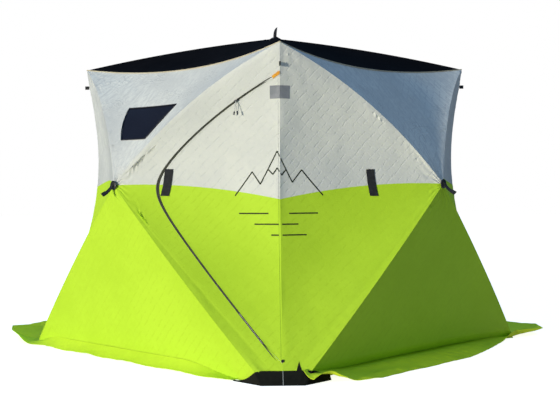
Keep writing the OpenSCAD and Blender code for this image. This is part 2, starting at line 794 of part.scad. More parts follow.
front_top_panel();
plain_top_panel(RIGHT);  // right_top_panel
plain_top_panel(BACK);  // back_top_panel
plain_top_panel(LEFT);  // left_top_panel
plain_bottom_panel(FRONT);  // front_bottom_panel
plain_bottom_panel(RIGHT);  // right_bottom_panel
plain_bottom_panel(BACK);  // back_bottom_panel
plain_bottom_panel(LEFT);  // left_bottom_panel
corner_upper(LEFT);  // front_left_corner_upper
corner_lower(LEFT);  // front_left_corner_lower
corner_upper(BACK);  // back_left_corner_upper
corner_lower(BACK);  // back_left_corner_lower
corner_upper(RIGHT);  // back_right_corner_upper
corner_lower(RIGHT);  // back_right_corner_lower
door_surround_upper();
door_surround_lower();
door_corner_upper();
door_corner_lower();
roof_panels();
front_window();
door_flap_upper();
door_flap_lower();
door_zip();
door_tab();
surround_zip();
wall_tab();
wall_hubs();
roof_hub();
wall_poles(FRONT);  // front_poles
wall_poles(RIGHT);  // right_poles
wall_poles(BACK);  // back_poles
wall_poles(LEFT);  // left_poles
roof_poles();
pole_caps();
pole_feet();
hub_pull_straps();
corner_loops();
wall_skirt(FRONT);  // front_skirt
wall_skirt(RIGHT);  // right_skirt
wall_skirt(BACK);  // back_skirt
wall_skirt(LEFT);  // left_skirt
door_sill();
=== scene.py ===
"""Looks of the pop-up ice fishing hut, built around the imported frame.

Lengths are in metres. The surfaces repeat the formulas of the part's source, so that each fabric
piece lies where its solid is. Wrinkles, quilting, trim and finishes are added here.
"""
import math
from functools import partial

import bpy
import numpy as np
from mathutils import Matrix, Vector


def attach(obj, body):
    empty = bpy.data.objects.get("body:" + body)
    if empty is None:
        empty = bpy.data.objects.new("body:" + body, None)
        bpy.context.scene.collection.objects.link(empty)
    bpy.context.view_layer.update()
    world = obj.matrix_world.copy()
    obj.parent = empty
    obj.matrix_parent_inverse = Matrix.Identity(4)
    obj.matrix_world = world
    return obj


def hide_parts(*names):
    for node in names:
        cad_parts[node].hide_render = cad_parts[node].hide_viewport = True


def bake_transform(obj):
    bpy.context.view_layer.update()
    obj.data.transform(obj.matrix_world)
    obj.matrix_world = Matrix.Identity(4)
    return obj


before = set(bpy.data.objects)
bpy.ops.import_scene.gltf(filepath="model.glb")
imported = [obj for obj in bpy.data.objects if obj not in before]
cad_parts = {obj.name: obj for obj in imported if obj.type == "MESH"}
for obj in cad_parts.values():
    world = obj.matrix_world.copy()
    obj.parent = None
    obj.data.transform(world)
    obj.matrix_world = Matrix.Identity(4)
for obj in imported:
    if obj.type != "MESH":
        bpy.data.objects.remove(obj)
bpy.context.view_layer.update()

SHELTER, DOOR = "shelter", "door"
FRONT, RIGHT, BACK, LEFT = range(4)
WALL_NAMES = ("front", "right", "back", "left")

# Shell
ROOF_W = 1.810
BASE_W = 2.416
HUB_SPAN = 2.734
CORNER_H = 1.836
HUB_H = 1.048
COLOUR_H = 0.965
PLAIN_COLOUR_H = 1.045
ROOF_RISE = 0.214
BASE_CHAMFER = 0.138
FABRIC_T = 0.006

# Tension curves
SEAM_BOW = 0.210
SEAM_POWER = 1.2
SEAM_SHARE = 0.95
EDGE_BOW = 0.080
EDGE_SAG = 0.070
BASE_BOW = -0.010
UPPER_BOW = 0.082
LOWER_BOW = 0.020
ROOF_BOW = 0.020
PANEL_DISH = 0.025
CORNER_MITRE = 0.75
HUB_HOLE_T = 0.0135

# Door, window and trim
ZIP_UPPER = 0.165
ZIP_LOWER = 0.145
ZIP_POWER = 2.0
ZIP_TAPER = 0.9
ZIP_HALF = 0.0115
ZIP_TIP_T = 0.97
WINDOW_TOP_W = 0.437
WINDOW_BOTTOM_W = 0.214
WINDOW_Z = HUB_H + 0.276
WINDOW_H = 0.205
WINDOW_SHIFT = -0.024
WINDOW_BOW = 0.014
SKIRT_W = 0.240
SKIRT_T = 0.003
SKIRT_WAVE = 0.014
SKIRT_GAP = 0.0014
SILL_H = 0.065
SILL_FLARE = 0.040
SILL_L = 0.190
WEBBING_W = 0.022
WEBBING_T = 0.003
STRAP_L = 0.070
STRAP_REACH = 0.080
LOOP_L = 0.028
LOOP_Q = 0.065
TAB_W = 0.042
TAB_L = 0.155
TAB_RISE = 0.014
DOOR_TAB_T = 0.357
DOOR_TAB_LEAN = math.radians(1.0)
WALL_TAB_T = 0.475
BUTTON_H = 0.009

# Derived points of the front wall
ROOF_R = ROOF_W / 2
BASE_R = BASE_W / 2
FOOT_U = BASE_R - BASE_CHAMFER
SEAM_R = BASE_R - BASE_CHAMFER / 2
COLOUR_S = SEAM_SHARE * (1 - COLOUR_H / CORNER_H)
HUB = np.array([0, -HUB_SPAN / 2, HUB_H])
ROOF_TOP = np.array([0, 0, CORNER_H + ROOF_RISE])
INWARD = np.array([0.0, 1, 0])
OUTWARD = -INWARD
UP = np.array([0.0, 0, 1])
X_AXIS = np.array([1.0, 0, 0])
DOWN = -UP
UPPER_WAY = np.array([0, 0.2, 1])
ROOT2 = math.sqrt(2)
SEAM_LINE = np.array([1, -1, 0]) / ROOT2


def top_corner(side):
    return np.array([side * ROOF_R, -ROOF_R, CORNER_H])


def foot(side):
    return np.array([side * FOOT_U, -BASE_R, 0])


EDGE_L = np.linalg.norm(top_corner(1) - foot(1))
RADIAL_L = np.linalg.norm(top_corner(1) - HUB)


# Surfaces: s runs along a panel's outer edge, t from its hub to that edge
def wide(x):
    """Numbers as a column, so that they multiply points."""
    return np.asarray(x, float)[..., None]


def lerp(a, b, t):
    return a + (b - a) * t


def even(count):
    """Even steps from 0 to 1."""
    return np.linspace(0, 1, count + 1)


def centred(count, width):
    """A number of places across a width, about its middle."""
    return np.linspace(-0.5, 0.5, count) * width


def grid(a, b):
    return np.meshgrid(a, b, indexing="ij")


def smooth(x):
    x = np.clip(x, 0, 1)
    return x * x * (3 - 2 * x)


def bulge(q):
    return 4 * q * (1 - q)


def unit(v):
    return v / np.linalg.norm(v, axis=-1, keepdims=True)


def turned(points, wall):
    """Points of the front wall, turned to another wall."""
    c, s = ((1, 0), (0, 1), (-1, 0), (0, -1))[wall % 4]
    x, y, z = np.moveaxis(np.asarray(points, float), -1, 0)
    return np.stack([c * x - s * y, s * x + c * y, z], -1)


def arc(a, b, out, bow, t):
    """Circular arc from a to b that bows towards out."""
    axis = unit(b - a)
    bow_axis = unit(out - (out @ axis) * axis)
    half = np.linalg.norm(b - a) / 2
    radius = (half * half + bow * bow) / (2 * bow)
    centre = (a + b) / 2 - bow_axis * (radius - bow)
    angle = (2 * wide(t) - 1) * math.asin(half / radius)
    return centre + radius * (np.sin(angle) * axis + np.cos(angle) * bow_axis)


def top_inward(side):
    return CORNER_MITRE * np.array([-side, 1, -1])


def seam_inward(side):
    return np.array([-side, 1, 0]) / ROOT2


def upper_fold(side, t, deep):
    lean = lerp(INWARD, top_inward(side), wide(t))
    return arc(HUB, top_corner(side), UPPER_WAY, UPPER_BOW, t) + deep * lean


def lower_fold(side, t, deep):
    return arc(HUB, foot(side), OUTWARD, LOWER_BOW, t) + deep * INWARD


def roof_fold(side, t, deep):
    lean = lerp(DOWN, top_inward(side), wide(t))
    return arc(ROOF_TOP, top_corner(side), UP, ROOF_BOW, t) + deep * lean


def roof_edge(q, deep):
    q = np.asarray(q, float)
    line = np.stack([(2 * q - 1) * ROOF_R, EDGE_BOW * bulge(q) - ROOF_R,
                     CORNER_H - EDGE_SAG * bulge(q)], -1)
    return line + deep * lerp(top_inward(-1), top_inward(1), wide(q))


def base_edge(q, deep):
    q = np.asarray(q, float)
    return np.stack([(2 * q - 1) * FOOT_U, BASE_BOW * bulge(q) - BASE_R, 0 * q], -1) + deep * INWARD


def seam_at(q):
    return lerp(ROOF_R, SEAM_R, q) - SEAM_BOW / ROOT2 * np.power(np.clip(bulge(q), 0, 1), SEAM_POWER)


def seam(side, q, deep=0):
    q = np.asarray(q, float)
    line = np.stack([side * seam_at(q), -seam_at(q), (1 - q) * CORNER_H], -1)
    return line + deep * lerp(top_inward(side), seam_inward(side), wide(q))


def side_edge(side, s, deep):
    s = np.asarray(s, float)
    on_seam = seam(side, np.minimum(s / SEAM_SHARE, 1), deep)
    share = np.clip((s - SEAM_SHARE) / (1 - SEAM_SHARE), 0, 1)
    on_ground = lerp(seam(side, 1, deep), foot(side) + deep * INWARD, wide(share))
    return np.where(wide(s) <= SEAM_SHARE, on_seam, on_ground)


def dish(s, t):
    """Depth of a panel's dish, at its full value two thirds of the way from the hub."""
    return PANEL_DISH * bulge(s) * 27 / 4 * t * t * (1 - t)


def hub_patch(first_fold, second_fold, edge, way):
    """A panel from its hub to an edge, between two folds, dished along a direction."""
    def point(s, t, deep=0):
        face = lerp(first_fold(t, deep), second_fold(t, deep), wide(s))
        face = face + wide(t) * (edge(s, deep) - lerp(edge(0, deep), edge(1, deep), wide(s)))
        return face + wide(dish(s, t)) * way
    return point


top_point = hub_patch(partial(upper_fold, -1), partial(upper_fold, 1), roof_edge, INWARD)
bottom_point = hub_patch(partial(lower_fold, -1), partial(lower_fold, 1), base_edge, INWARD)
roof_point = hub_patch(partial(roof_fold, -1), partial(roof_fold, 1), roof_edge, DOWN)


def side_point(side):
    return hub_patch(partial(upper_fold, side), partial(lower_fold, side), partial(side_edge, side),
                     seam_inward(side))


def solve_place(point, x, z, s, t):
    """s and t of the points of a patch that have a given x and z, by Newton steps."""
    x, z = np.asarray(x, float), np.asarray(z, float)
    s, t = np.full(x.shape, s, float), np.full(x.shape, t, float)
    step = 1e-4
    for _ in range(14):
        here = point(s, t)
        by_s = (point(s + step, t) - here) / step
        by_t = (point(s, t + step) - here) / step
        dx, dz = x - here[..., 0], z - here[..., 2]
        det = by_s[..., 0] * by_t[..., 2] - by_t[..., 0] * by_s[..., 2]
        s = np.clip(s + (dx * by_t[..., 2] - by_t[..., 0] * dz) / det, 0.02, 0.99)
        t = np.clip(t + (by_s[..., 0] * dz - dx * by_s[..., 2]) / det, 0.02, 1.0)
    return s, t


# Zip line
POLE_ANGLE = math.acos(unit(top_corner(1) - HUB) @ unit(foot(1) - HUB))
FOOT_REACH, TOP_REACH = (np.linalg.norm(end - HUB) * math.sin(POLE_ANGLE)
                         for end in (foot(1), top_corner(1)))
NEARLY_1 = 0.9999


def zip_t(s, away):
    """The t of the zip line, or of a line at a distance from it on the door's side."""
    s = np.clip(s, 1e-9, 1 - 1e-9)
    upper = (ZIP_UPPER + away) / FOOT_REACH / np.power(s, ZIP_TAPER)
    lower = (ZIP_LOWER + away) / TOP_REACH / np.power(1 - s, ZIP_TAPER)
    return np.minimum(1, np.power(upper ** ZIP_POWER + lower ** ZIP_POWER, 1 / ZIP_POWER))


def zip_ends(away, t=ZIP_TIP_T):
    """The upper and the lower s where that line reaches t, by halving."""
    ends = []
    for outside in (0.02, 0.98):
        inside = COLOUR_S
        for _ in range(40):
            middle = (outside + inside) / 2
            outside, inside = (middle, inside) if zip_t(middle, away) > t else (outside, middle)
        ends.append((outside + inside) / 2)
    return ends


def zip_steps(ends, count):
    """Values of s from the upper end to the colour line, and from there to the lower end."""
    share = np.linspace(0, 1, count + 1)
    upper = ends[0] * (COLOUR_S / ends[0]) ** share
    lower = 1 - (1 - COLOUR_S) * ((1 - ends[1]) / (1 - COLOUR_S)) ** share
    return upper, lower


# The tape's edge on the hub's side of the zip, and on the door's side
HUB_TAPE_EDGE, DOOR_TAPE_EDGE = (partial(zip_t, away=away) for away in (-ZIP_HALF, ZIP_HALF))


# Smooth random fields and wrinkles
PUCKERS = 5.5
PUCKER_H = 0.0056
POLE_CREASE_H = 0.0032
DRAG_H = 0.0042
RIM_CREASE_H = 0.0012
SLOW_WAVE_H = 0.0030
FINE_WAVE_H = 0.0006
EDGE_FADE = 0.020


def noise(points, size, seed, waves=16):
    """A smooth random field, about -1 to 1. size is one wavelength, or one for each axis."""
    rng = np.random.default_rng(seed)
    points = np.asarray(points, float)
    axes = points.shape[-1]
    direction = unit(rng.normal(size=(waves, axes)))
    rate = 2 * math.pi * direction / np.broadcast_to(size, axes) * rng.uniform(0.7, 1.4, (waves, 1))
    phase = rng.uniform(0, 2 * math.pi, waves)
    return np.cos(points @ rate.T + phase).sum(-1) / math.sqrt(waves)


def line_noise(x, size, seed):
    return noise(wide(x), size, seed)


def ring_bump(distance, middle, width):
    return np.exp(-((distance - middle) / width) ** 2)


def wrinkles(points, s, t, seed, slack):
    """Outward push of a tensioned panel: puckers at the hub, creases along the poles and drag lines
    from the outer corners, over slow waves. It fades out at the panel's edges, which are shared."""
    radius = t * RADIAL_L
    first, second, rim = s * t * EDGE_L, (1 - s) * t * EDGE_L, (1 - t) * RADIAL_L
    sway = 0.4 * line_noise(radius, 0.16, seed + 1)
    push = PUCKER_H * np.exp(-radius / 0.11) * np.cos(2 * math.pi * (PUCKERS * s + sway))
    for k, fold in enumerate((first, second)):
        crease = line_noise(radius + 0.35 * fold, 0.045, seed + 2 + k)
        patchy = smooth(0.5 + 0.9 * line_noise(radius, 0.35, seed + 4 + k))
        push = push + POLE_CREASE_H * ring_bump(fold, 0.032, 0.026) * crease * patchy
        distance = np.hypot(fold, rim)
        fan = np.arctan2(rim, fold + 1e-6)
        drag = np.cos(9 * fan + 1.2 * line_noise(distance, 0.12, seed + 6 + k))
        push = push + DRAG_H * np.exp(-distance / 0.15) * drag
    push = push + RIM_CREASE_H * np.exp(-rim / 0.035) * line_noise(first, 0.045, seed + 8)
    push = push + SLOW_WAVE_H * noise(points, 0.50, seed + 9) + FINE_WAVE_H * noise(points, 0.11, seed + 10)
    edge = np.minimum(np.minimum(first, second), rim)
    return slack * push * smooth(edge / EDGE_FADE)


# Meshes
SHARP_ANGLE = math.radians(38)


def make_object(name, points, faces, materials, face_material=None, uv=None):
    """A mesh object from arrays. Faces may mix triangles and quads."""
    mesh = bpy.data.meshes.new(name)
    mesh.from_pydata(points, [], faces)
    for material in materials:
        mesh.materials.append(material)
    if face_material is not None:
        mesh.polygons.foreach_set("material_index", face_material)
    if uv is not None:
        corner_uv = uv[np.concatenate(faces)].astype(np.float32)
        mesh.uv_layers.new(name="quilt").data.foreach_set("uv", corner_uv.ravel())
    mesh.validate()
    mesh.shade_smooth()
    mesh.set_sharp_from_angle(angle=SHARP_ANGLE)
    obj = bpy.data.objects.new(name, mesh)
    bpy.context.collection.objects.link(obj)
    return obj


LINED = (0, 1, 0)


class Shell:
    """Collects closed sheets, each an outer and an inner grid joined by a rim."""

    def __init__(self):
        self.points, self.faces, self.face_material, self.uv = [], [], [], []
        self.count = 0
        self.area = 0.0

    def add(self, outer, inner, out, uv=None, materials=(0, 0, 0)):
        """outer and inner are grids of points; out is a direction on the outer side. The materials are
        those of the outer face, the inner face and the rim."""
        rows, columns = outer.shape[:2]
        size = rows * columns
        index = self.count + np.arange(size).reshape(rows, columns)
        top = np.stack([index[:-1, :-1], index[:-1, 1:], index[1:, 1:], index[1:, :-1]], -1).reshape(-1, 4)
        quads = outer.reshape(-1, 3)[top - self.count]
        normal = np.cross(quads[:, 2] - quads[:, 0], quads[:, 3] - quads[:, 1]) / 2
        self.area += np.linalg.norm(normal, axis=-1).sum()
        ring = np.concatenate([index[0, :-1], index[:-1, -1], index[-1, :0:-1], index[:0:-1, 0]])
        ahead = np.roll(ring, -1)
        rim = np.stack([ring, ring + size, ahead + size, ahead], -1)
        bottom = (top + size)[:, ::-1]
        if (normal.sum(0) @ out) < 0:
            top, bottom, rim = top[:, ::-1], bottom[:, ::-1], rim[:, ::-1]
        for faces, material in zip((top, bottom, rim), materials):
            self.faces.extend(faces)
            self.face_material.extend([material] * len(faces))
        if uv is None:
            uv = np.stack(grid(even(rows - 1), even(columns - 1)), -1)
        self.points.extend([outer.reshape(-1, 3), inner.reshape(-1, 3)])
        self.uv.extend([uv.reshape(-1, 2)] * 2)
        self.count += 2 * size

    def build(self, name, *materials):
        return make_object(name, np.concatenate(self.points), self.faces, materials,
                           self.face_material, np.concatenate(self.uv))


def loft(name, rings, material, closed=False):
    """A body through rings of points, with shut ends unless it closes on itself."""
    rings = np.asarray(rings, float)
    count, sides = rings.shape[:2]
    faces = []
    for i in range(count if closed else count - 1):
        for j in range(sides):
            a, b, k = i * sides, (i + 1) % count * sides, (j + 1) % sides
            faces.append((a + j, a + k, b + k, b + j))
    if not closed:
        faces += [tuple(range(sides))[::-1], tuple(range((count - 1) * sides, count * sides))]
    return make_object(name, rings.reshape(-1, 3), faces, [material])


def circle(sides, first, second):
    """Points of a circle about zero, on two axes."""
    angle = np.linspace(0, 2 * math.pi, sides, endpoint=False)[:, None]
    return np.cos(angle) * first[..., None, :] + np.sin(angle) * second[..., None, :]


def tube(name, path, radius, material, sides=8, closed=False):
    """A round tube along a path."""
    ahead = unit(np.roll(path, -1, 0) - np.roll(path, 1, 0) if closed else np.gradient(path, axis=0))
    across = unit(np.cross(ahead, np.where(np.abs(ahead[:, 2:]) > 0.9, X_AXIS, UP)))
    rings = path[:, None] + radius * circle(sides, across, np.cross(across, ahead))
    return loft(name, rings, material, closed)


def path_length(path):
    return float(np.linalg.norm(np.diff(path, axis=0), axis=-1).sum())


def place(obj, node=None, flap=False):
    """Attaches a piece to the shelter, or bakes the transform of a door flap piece into its mesh, and hides
    the solid it replaces if there is one.
    """
    if flap:
        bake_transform(obj)
    else:
        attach(obj, SHELTER)
    if node:
        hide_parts(node)
    return obj


# Materials
class Nodes:
    """Adds nodes to the tree of a material or a world. A socket given as a value is linked."""

    def __init__(self, owner):
        owner.use_nodes = True
        self.owner, self.tree = owner, owner.node_tree

    def put(self, socket, value):
        if isinstance(value, bpy.types.NodeSocket):
            self.tree.links.new(value, socket)
        else:
            socket.default_value = value

    def node(self, kind, **values):
        node = self.tree.nodes.new("ShaderNode" + kind)
        for key, value in values.items():
            if key in node.inputs:
                self.put(node.inputs[key], value)
            else:
                setattr(node, key, value)
        return node

    def maths(self, operation, *values):
        node = self.node("Math", operation=operation)
        for socket, value in zip(node.inputs, values):
            self.put(socket, value)
        return node.outputs[0]

    def times(self, a, b):
        return self.maths("MULTIPLY", a, b)

    def ramp(self, value, low, high, to_low=0.0, to_high=1.0):
        ends = {"From Min": low, "From Max": high, "To Min": to_low, "To Max": to_high}
        return self.node("MapRange", interpolation_type="SMOOTHSTEP", Value=value, **ends).outputs["Result"]

    def mix(self, factor, a, b):
        node = self.node("Mix", data_type="RGBA", Factor=factor)
        for name, colour in (("A", a), ("B", b)):
            next(i for i in node.inputs if i.name == name and i.type == "RGBA").default_value = (*colour, 1)
        return next(o for o in node.outputs if o.type == "RGBA")

    def noise(self, where, scale, detail=3.0, roughness=0.55):
        node = self.node("TexNoise", Vector=where, Scale=scale, Detail=detail, Roughness=roughness)
        return node.outputs["Fac"]

    def axes(self, where):
        return self.node("SeparateXYZ", Vector=where).outputs

    def shader(self, name, values):
        """Sets the inputs of the tree's shader. Returns the tree's owner."""
        for key, value in values.items():
            self.put(self.tree.nodes[name].inputs[key], value)
        return self.owner


QUILT_STEP = 0.042
QUILT_DASH = 1.6


class Finish(Nodes):
    """A material on the default surface shader."""

    def __init__(self, name):
        super().__init__(bpy.data.materials.new(name))
        self.where = self.node("TexCoord").outputs["Object"]
        self.uv = self.node("UVMap", uv_map="quilt").outputs["UV"]

    def grain(self, scale, detail=3.0, roughness=0.55):
        return self.noise(self.where, scale, detail, roughness)

    def bump(self, height, strength, distance, before=None):
        node = self.node("Bump", Height=height, Strength=strength, Distance=distance)
        if before is not None:
            self.put(node.inputs["Normal"], before)
        return node.outputs["Normal"]

    def quilting(self):
        """Height of stitched grooves on two diagonals. One family is dashed and deep, the other faint. The
        fabric also darkens its colour by this height, as painted shade in the grooves.
        """
        axes = self.axes(self.uv)
        sway = self.times(self.maths("SUBTRACT", self.noise(self.uv, 11.0, 2.0), 0.5), 0.034)
        level = self.maths("ADD", axes["X"], sway)
        rise, fall = (self.maths(way, axes["Y"], level) for way in ("SUBTRACT", "ADD"))
        groove_patchiness = self.ramp(self.noise(self.uv, 24.0, 2.0), 0.40, 0.58)
        scale = 1 / (ROOT2 * QUILT_STEP)
        grooves = []
        for line, along, depth in ((rise, fall, 1.0), (fall, rise, 0.22)):
            groove = self.ramp(self.maths("PINGPONG", self.times(line, scale), 0.5), 0.02, 0.16, 1.0, 0.0)
            dash = self.maths("PINGPONG", self.times(along, scale / QUILT_DASH), 0.5)
            stitched = self.ramp(dash, 0.06, 0.14, 0.35, 1.0)
            grooves.append(self.times(self.times(groove, stitched), self.times(groove_patchiness, depth)))
        return self.maths("SUBTRACT", 1.0, self.maths("MAXIMUM", *grooves))

    def stretched(self, x_rate, y_rate):
        """Noise with its own rate along each axis of the panel."""
        axes = self.axes(self.uv)
        where = self.node("CombineXYZ", X=self.times(axes["X"], x_rate), Y=self.times(axes["Y"], y_rate))
        return self.noise(where.outputs["Vector"], 1.0, 3.0, 0.6)

    def crinkles(self):
        """Patches of thin sharp creases."""
        off = self.maths("ABSOLUTE", self.maths("SUBTRACT", self.stretched(9.0, 17.0), 0.5))
        ridge = self.ramp(off, 0.0, 0.045, 1.0, 0.0)
        return self.times(ridge, self.ramp(self.noise(self.uv, 4.5, 2.0), 0.48, 0.60))

    def finish(self, colour, roughness, normal, shine=0.5):
        return self.shader("Principled BSDF", {"Base Color": colour, "Roughness": roughness, "Normal": normal,
                                               "Specular IOR Level": shine})


def fabric(name, light, dark, quilt=0.0, roughness=0.72, streak=0.0, shine=0.25, crease=0.25):
    """Coated cloth: two close tones, a fine weave and small creases. It may be quilted, or streaked by fine
    creases that run up the panel. The quilting grooves and the streaks also darken its colour, as painted
    shade."""
    look = Finish(name)
    tone = look.maths("ADD", look.times(look.grain(2.2, 4.0), 0.75), look.times(look.grain(38.0, 2.0), 0.25))
    shade = look.ramp(tone, 0.34, 0.66)
    normal = look.bump(look.grain(900.0, 1.0), 0.25, 0.0004)
    normal = look.bump(look.grain(26.0, 5.0, 0.6), crease, 0.004, normal)
    if streak:
        lines = look.stretched(60.0, 7.0)
        # Painted shade: the tone darkens along the fine creases.
        shade = look.times(shade, look.ramp(lines, 0.36, 0.56, 0.15, 1.0))
        normal = look.bump(lines, streak, 0.006, normal)
        normal = look.bump(look.crinkles(), streak * 0.85, 0.004, normal)
    if quilt:
        height = look.quilting()
        # Painted shade: the tone darkens in the quilting grooves.
        shade = look.times(shade, height)
        normal = look.bump(height, quilt, 0.004, normal)
    return look.finish(look.mix(shade, dark, light), roughness, normal, shine)


def webbing(name, light, dark):
    """Ribbed woven tape."""
    look = Finish(name)
    ribs = look.node("TexWave", Vector=look.where, Scale=180.0, Distortion=0.6, bands_direction="Z")
    shade = look.ramp(look.grain(60.0), 0.3, 0.7)
    return look.finish(look.mix(shade, dark, light), 0.8, look.bump(ribs.outputs["Fac"], 0.5, 0.0008))


def moulded(name, light, dark, roughness=0.45):
    """Moulded plastic with a fine spark grain."""
    look = Finish(name)
    wear = look.ramp(look.grain(30.0, 4.0), 0.3, 0.7, roughness - 0.08, roughness + 0.08)
    grain = look.bump(look.grain(700.0, 1.0), 0.2, 0.0005)
    return look.finish(look.mix(look.grain(14.0), dark, light), wear, grain)


def film(name, light, dark):
    """Dark glossy window film, slightly rippled."""
    look = Finish(name)
    ripple = look.bump(look.grain(9.0, 2.0), 0.12, 0.004)
    return look.finish(look.mix(look.grain(5.0), dark, light), 0.25, ripple, 0.12)


WHITE = fabric("white_fabric", (0.70, 0.70, 0.605), (0.635, 0.64, 0.565), quilt=0.32)
# This copy of the white fabric is toned cooler and greyer, as painted sky light on the top panels.
WHITE_TOP_PAINTED_LIGHT = fabric("white_fabric_top", (0.77, 0.775, 0.685), (0.60, 0.605, 0.55), quilt=0.18, streak=0.6)
# This copy of the white fabric is darker, as painted shade on the plain corner panels.
WHITE_SIDE_PAINTED_SHADE = fabric("white_fabric_side", (0.65, 0.665, 0.62), (0.50, 0.515, 0.49), quilt=0.18, streak=0.5)
LIME = fabric("lime_fabric", (0.505, 0.75, 0.030), (0.46, 0.695, 0.023), quilt=0.14)
# This copy of the lime fabric is much lighter, as painted sunlight on the skirts.
SKIRT_LIME_PAINTED_LIGHT = fabric("skirt_fabric", (0.78, 0.95, 0.034), (0.68, 0.86, 0.028), crease=1.0)
# This copy of the lime fabric is lighter, as painted sunlight on the front skirt.
FRONT_SKIRT_LIME_PAINTED_LIGHT = fabric("front_skirt_fabric", (0.63, 0.87, 0.036), (0.56, 0.79, 0.029), crease=0.7)
BLACK = fabric("black_fabric", (0.007, 0.007, 0.008), (0.003, 0.003, 0.004), quilt=0.12,
               roughness=0.85, shine=0.03)
SILL_BLACK = fabric("sill_fabric", (0.016, 0.016, 0.012), (0.009, 0.009, 0.007), roughness=0.8, shine=0.05)
LINING = fabric("lining", (0.34, 0.36, 0.37), (0.28, 0.30, 0.32), quilt=0.3)
WEBBING = webbing("webbing", (0.016, 0.016, 0.018), (0.007, 0.007, 0.008))
ORANGE = webbing("orange_webbing", (0.85, 0.40, 0.03), (0.70, 0.29, 0.02))
PIPING = fabric("piping", (0.62, 0.55, 0.38), (0.50, 0.43, 0.28))
ZIP = moulded("zip_coil", (0.045, 0.048, 0.022), (0.028, 0.030, 0.014), 0.5)
PLASTIC = moulded("dark_plastic", (0.014, 0.014, 0.016), (0.009, 0.009, 0.010))
POLE = moulded("pole_glass_fibre", (0.30, 0.31, 0.33), (0.24, 0.25, 0.27), 0.35)
FILM = film("window_film", (0.010, 0.010, 0.018), (0.006, 0.006, 0.012))
PATCH = fabric("reflective_patch", (0.24, 0.25, 0.26), (0.20, 0.21, 0.22), roughness=0.35)
STITCH = fabric("stitching", (0.46, 0.48, 0.46), (0.40, 0.42, 0.40))
LIME_STITCH = fabric("lime_stitching", (0.34, 0.52, 0.030), (0.28, 0.45, 0.022))
PRINT = fabric("printed_line", (0.026, 0.034, 0.012), (0.016, 0.022, 0.008))
BRIGHT_STITCH = fabric("bright_stitching", (0.55, 0.56, 0.52), (0.45, 0.46, 0.43))

# Fabric panels
EDGE_CELLS = 110
RADIAL_CELLS = 72
HALF_CELLS = 56
FOOT_CELLS = 8
ZIP_CELLS = 64
ROOF_CELLS = (80, 56)
WINDOW_CELLS = 40
LOWER_SLACK = 0.6
ROOF_SLACK = 0.9
HEM_IN = 0.075
HEM_H = 0.080
PLAIN_S = SEAM_SHARE * (1 - PLAIN_COLOUR_H / CORNER_H)
HUB_TO_EDGE = (HUB_HOLE_T, 1.0)
FOOT_STEPS = lerp(SEAM_SHARE, 1, even(FOOT_CELLS))[1:]
PLAIN_CORNERS = ((LEFT, "front_left"), (BACK, "back_left"), (RIGHT, "back_right"))


def quilt_plane(points, across):
    """Flat coordinates in metres on a panel: along the level direction across, and up the slope."""
    level = points @ across
    rest = points - wide(level) * across
    middle = rest.reshape(-1, 3).mean(0)
    lean = np.linalg.svd(rest.reshape(-1, 3)[::97] - middle, full_matrices=False)[2][0]
    return np.stack([level, (rest - middle) @ (lean if lean[2] > 0 else -lean)], -1)


def add_cloth(shell, point, s, t, wall, out, across, seed, slack):
    """A lined sheet over a grid of s and t on a patch, with its wrinkles."""
    plain = point(s, t, 0)
    push = wide(wrinkles(plain, s, t, seed, slack)) * out
    inner = point(s, t, FABRIC_T) + 0.9 * push
    sides = (turned(points, wall) for points in (plain + push, inner, out))
    shell.add(*sides, quilt_plane(plain, across), LINED)


def add_panel(shell, point, s, ends, rows, *cloth):
    """A sheet over values of s, between two limits of t. A limit is a number or a function of s."""
    start, stop = (np.broadcast_to(end(s) if callable(end) else end, s.shape)[:, None] for end in ends)
    add_cloth(shell, point, np.repeat(s[:, None], rows + 1, 1), lerp(start, stop, even(rows)), *cloth)


def out_of_side(side):
    return -seam_inward(side)


def side_seed(wall, side):
    return 400 + 40 * wall + (20 if side > 0 else 0)


def add_side(shell, wall, side, s, ends, rows, slack):
    across = np.array([1, side, 0]) / ROOT2
    seed = side_seed(wall, side)
    add_panel(shell, side_point(side), s, ends, rows, wall, out_of_side(side), across, seed, slack)


def cover(shell, name, material, node, flat, flap=False):
    """Fabric stretched over poles, in place of a solid panel."""
    obj = place(shell.build(name, material, LINING), node, flap)


def hemmed_point(s, t, deep=0):
    """A bottom panel whose hem is drawn in under it, less so towards the feet."""
    share = np.clip(1 - (1 - t) * HUB_H / HEM_H, 0, 1)
    return bottom_point(s, t, deep) + wide(HEM_IN * share * np.sqrt(bulge(s))) * INWARD


def wall_panels():
    s = even(EDGE_CELLS)
    for wall, name in enumerate(WALL_NAMES):
        on_wall = (s, HUB_TO_EDGE, RADIAL_CELLS, wall, OUTWARD, X_AXIS)
        shell = Shell()
        if wall == FRONT:
            add_window_panel(shell)
        else:
            add_panel(shell, top_point, *on_wall, 40 * wall, 1.0)
        # The top panels take the white copy with painted sky light.
        cover(shell, f"{name}_top_fabric", WHITE_TOP_PAINTED_LIGHT, f"{name}_top_panel", (1.83, 1.02))
        shell = Shell()
        point = bottom_point if wall == FRONT else hemmed_point
        add_panel(shell, point, *on_wall, 300 + 40 * wall, LOWER_SLACK)
        cover(shell, f"{name}_bottom_fabric", LIME, f"{name}_bottom_panel", (2.15, 1.07))


def window_point(u, v):
    """s and t of a point of the window: u from -1 to 1 across, v from 0 to 1 up."""
    bow = WINDOW_BOW * bulge(v) * np.clip(-u, 0, 1)
    x = u * lerp(WINDOW_BOTTOM_W, WINDOW_TOP_W, v) / 2 + WINDOW_SHIFT - bow
    return solve_place(top_point, x, WINDOW_Z + v * WINDOW_H, 0.5, 0.5)


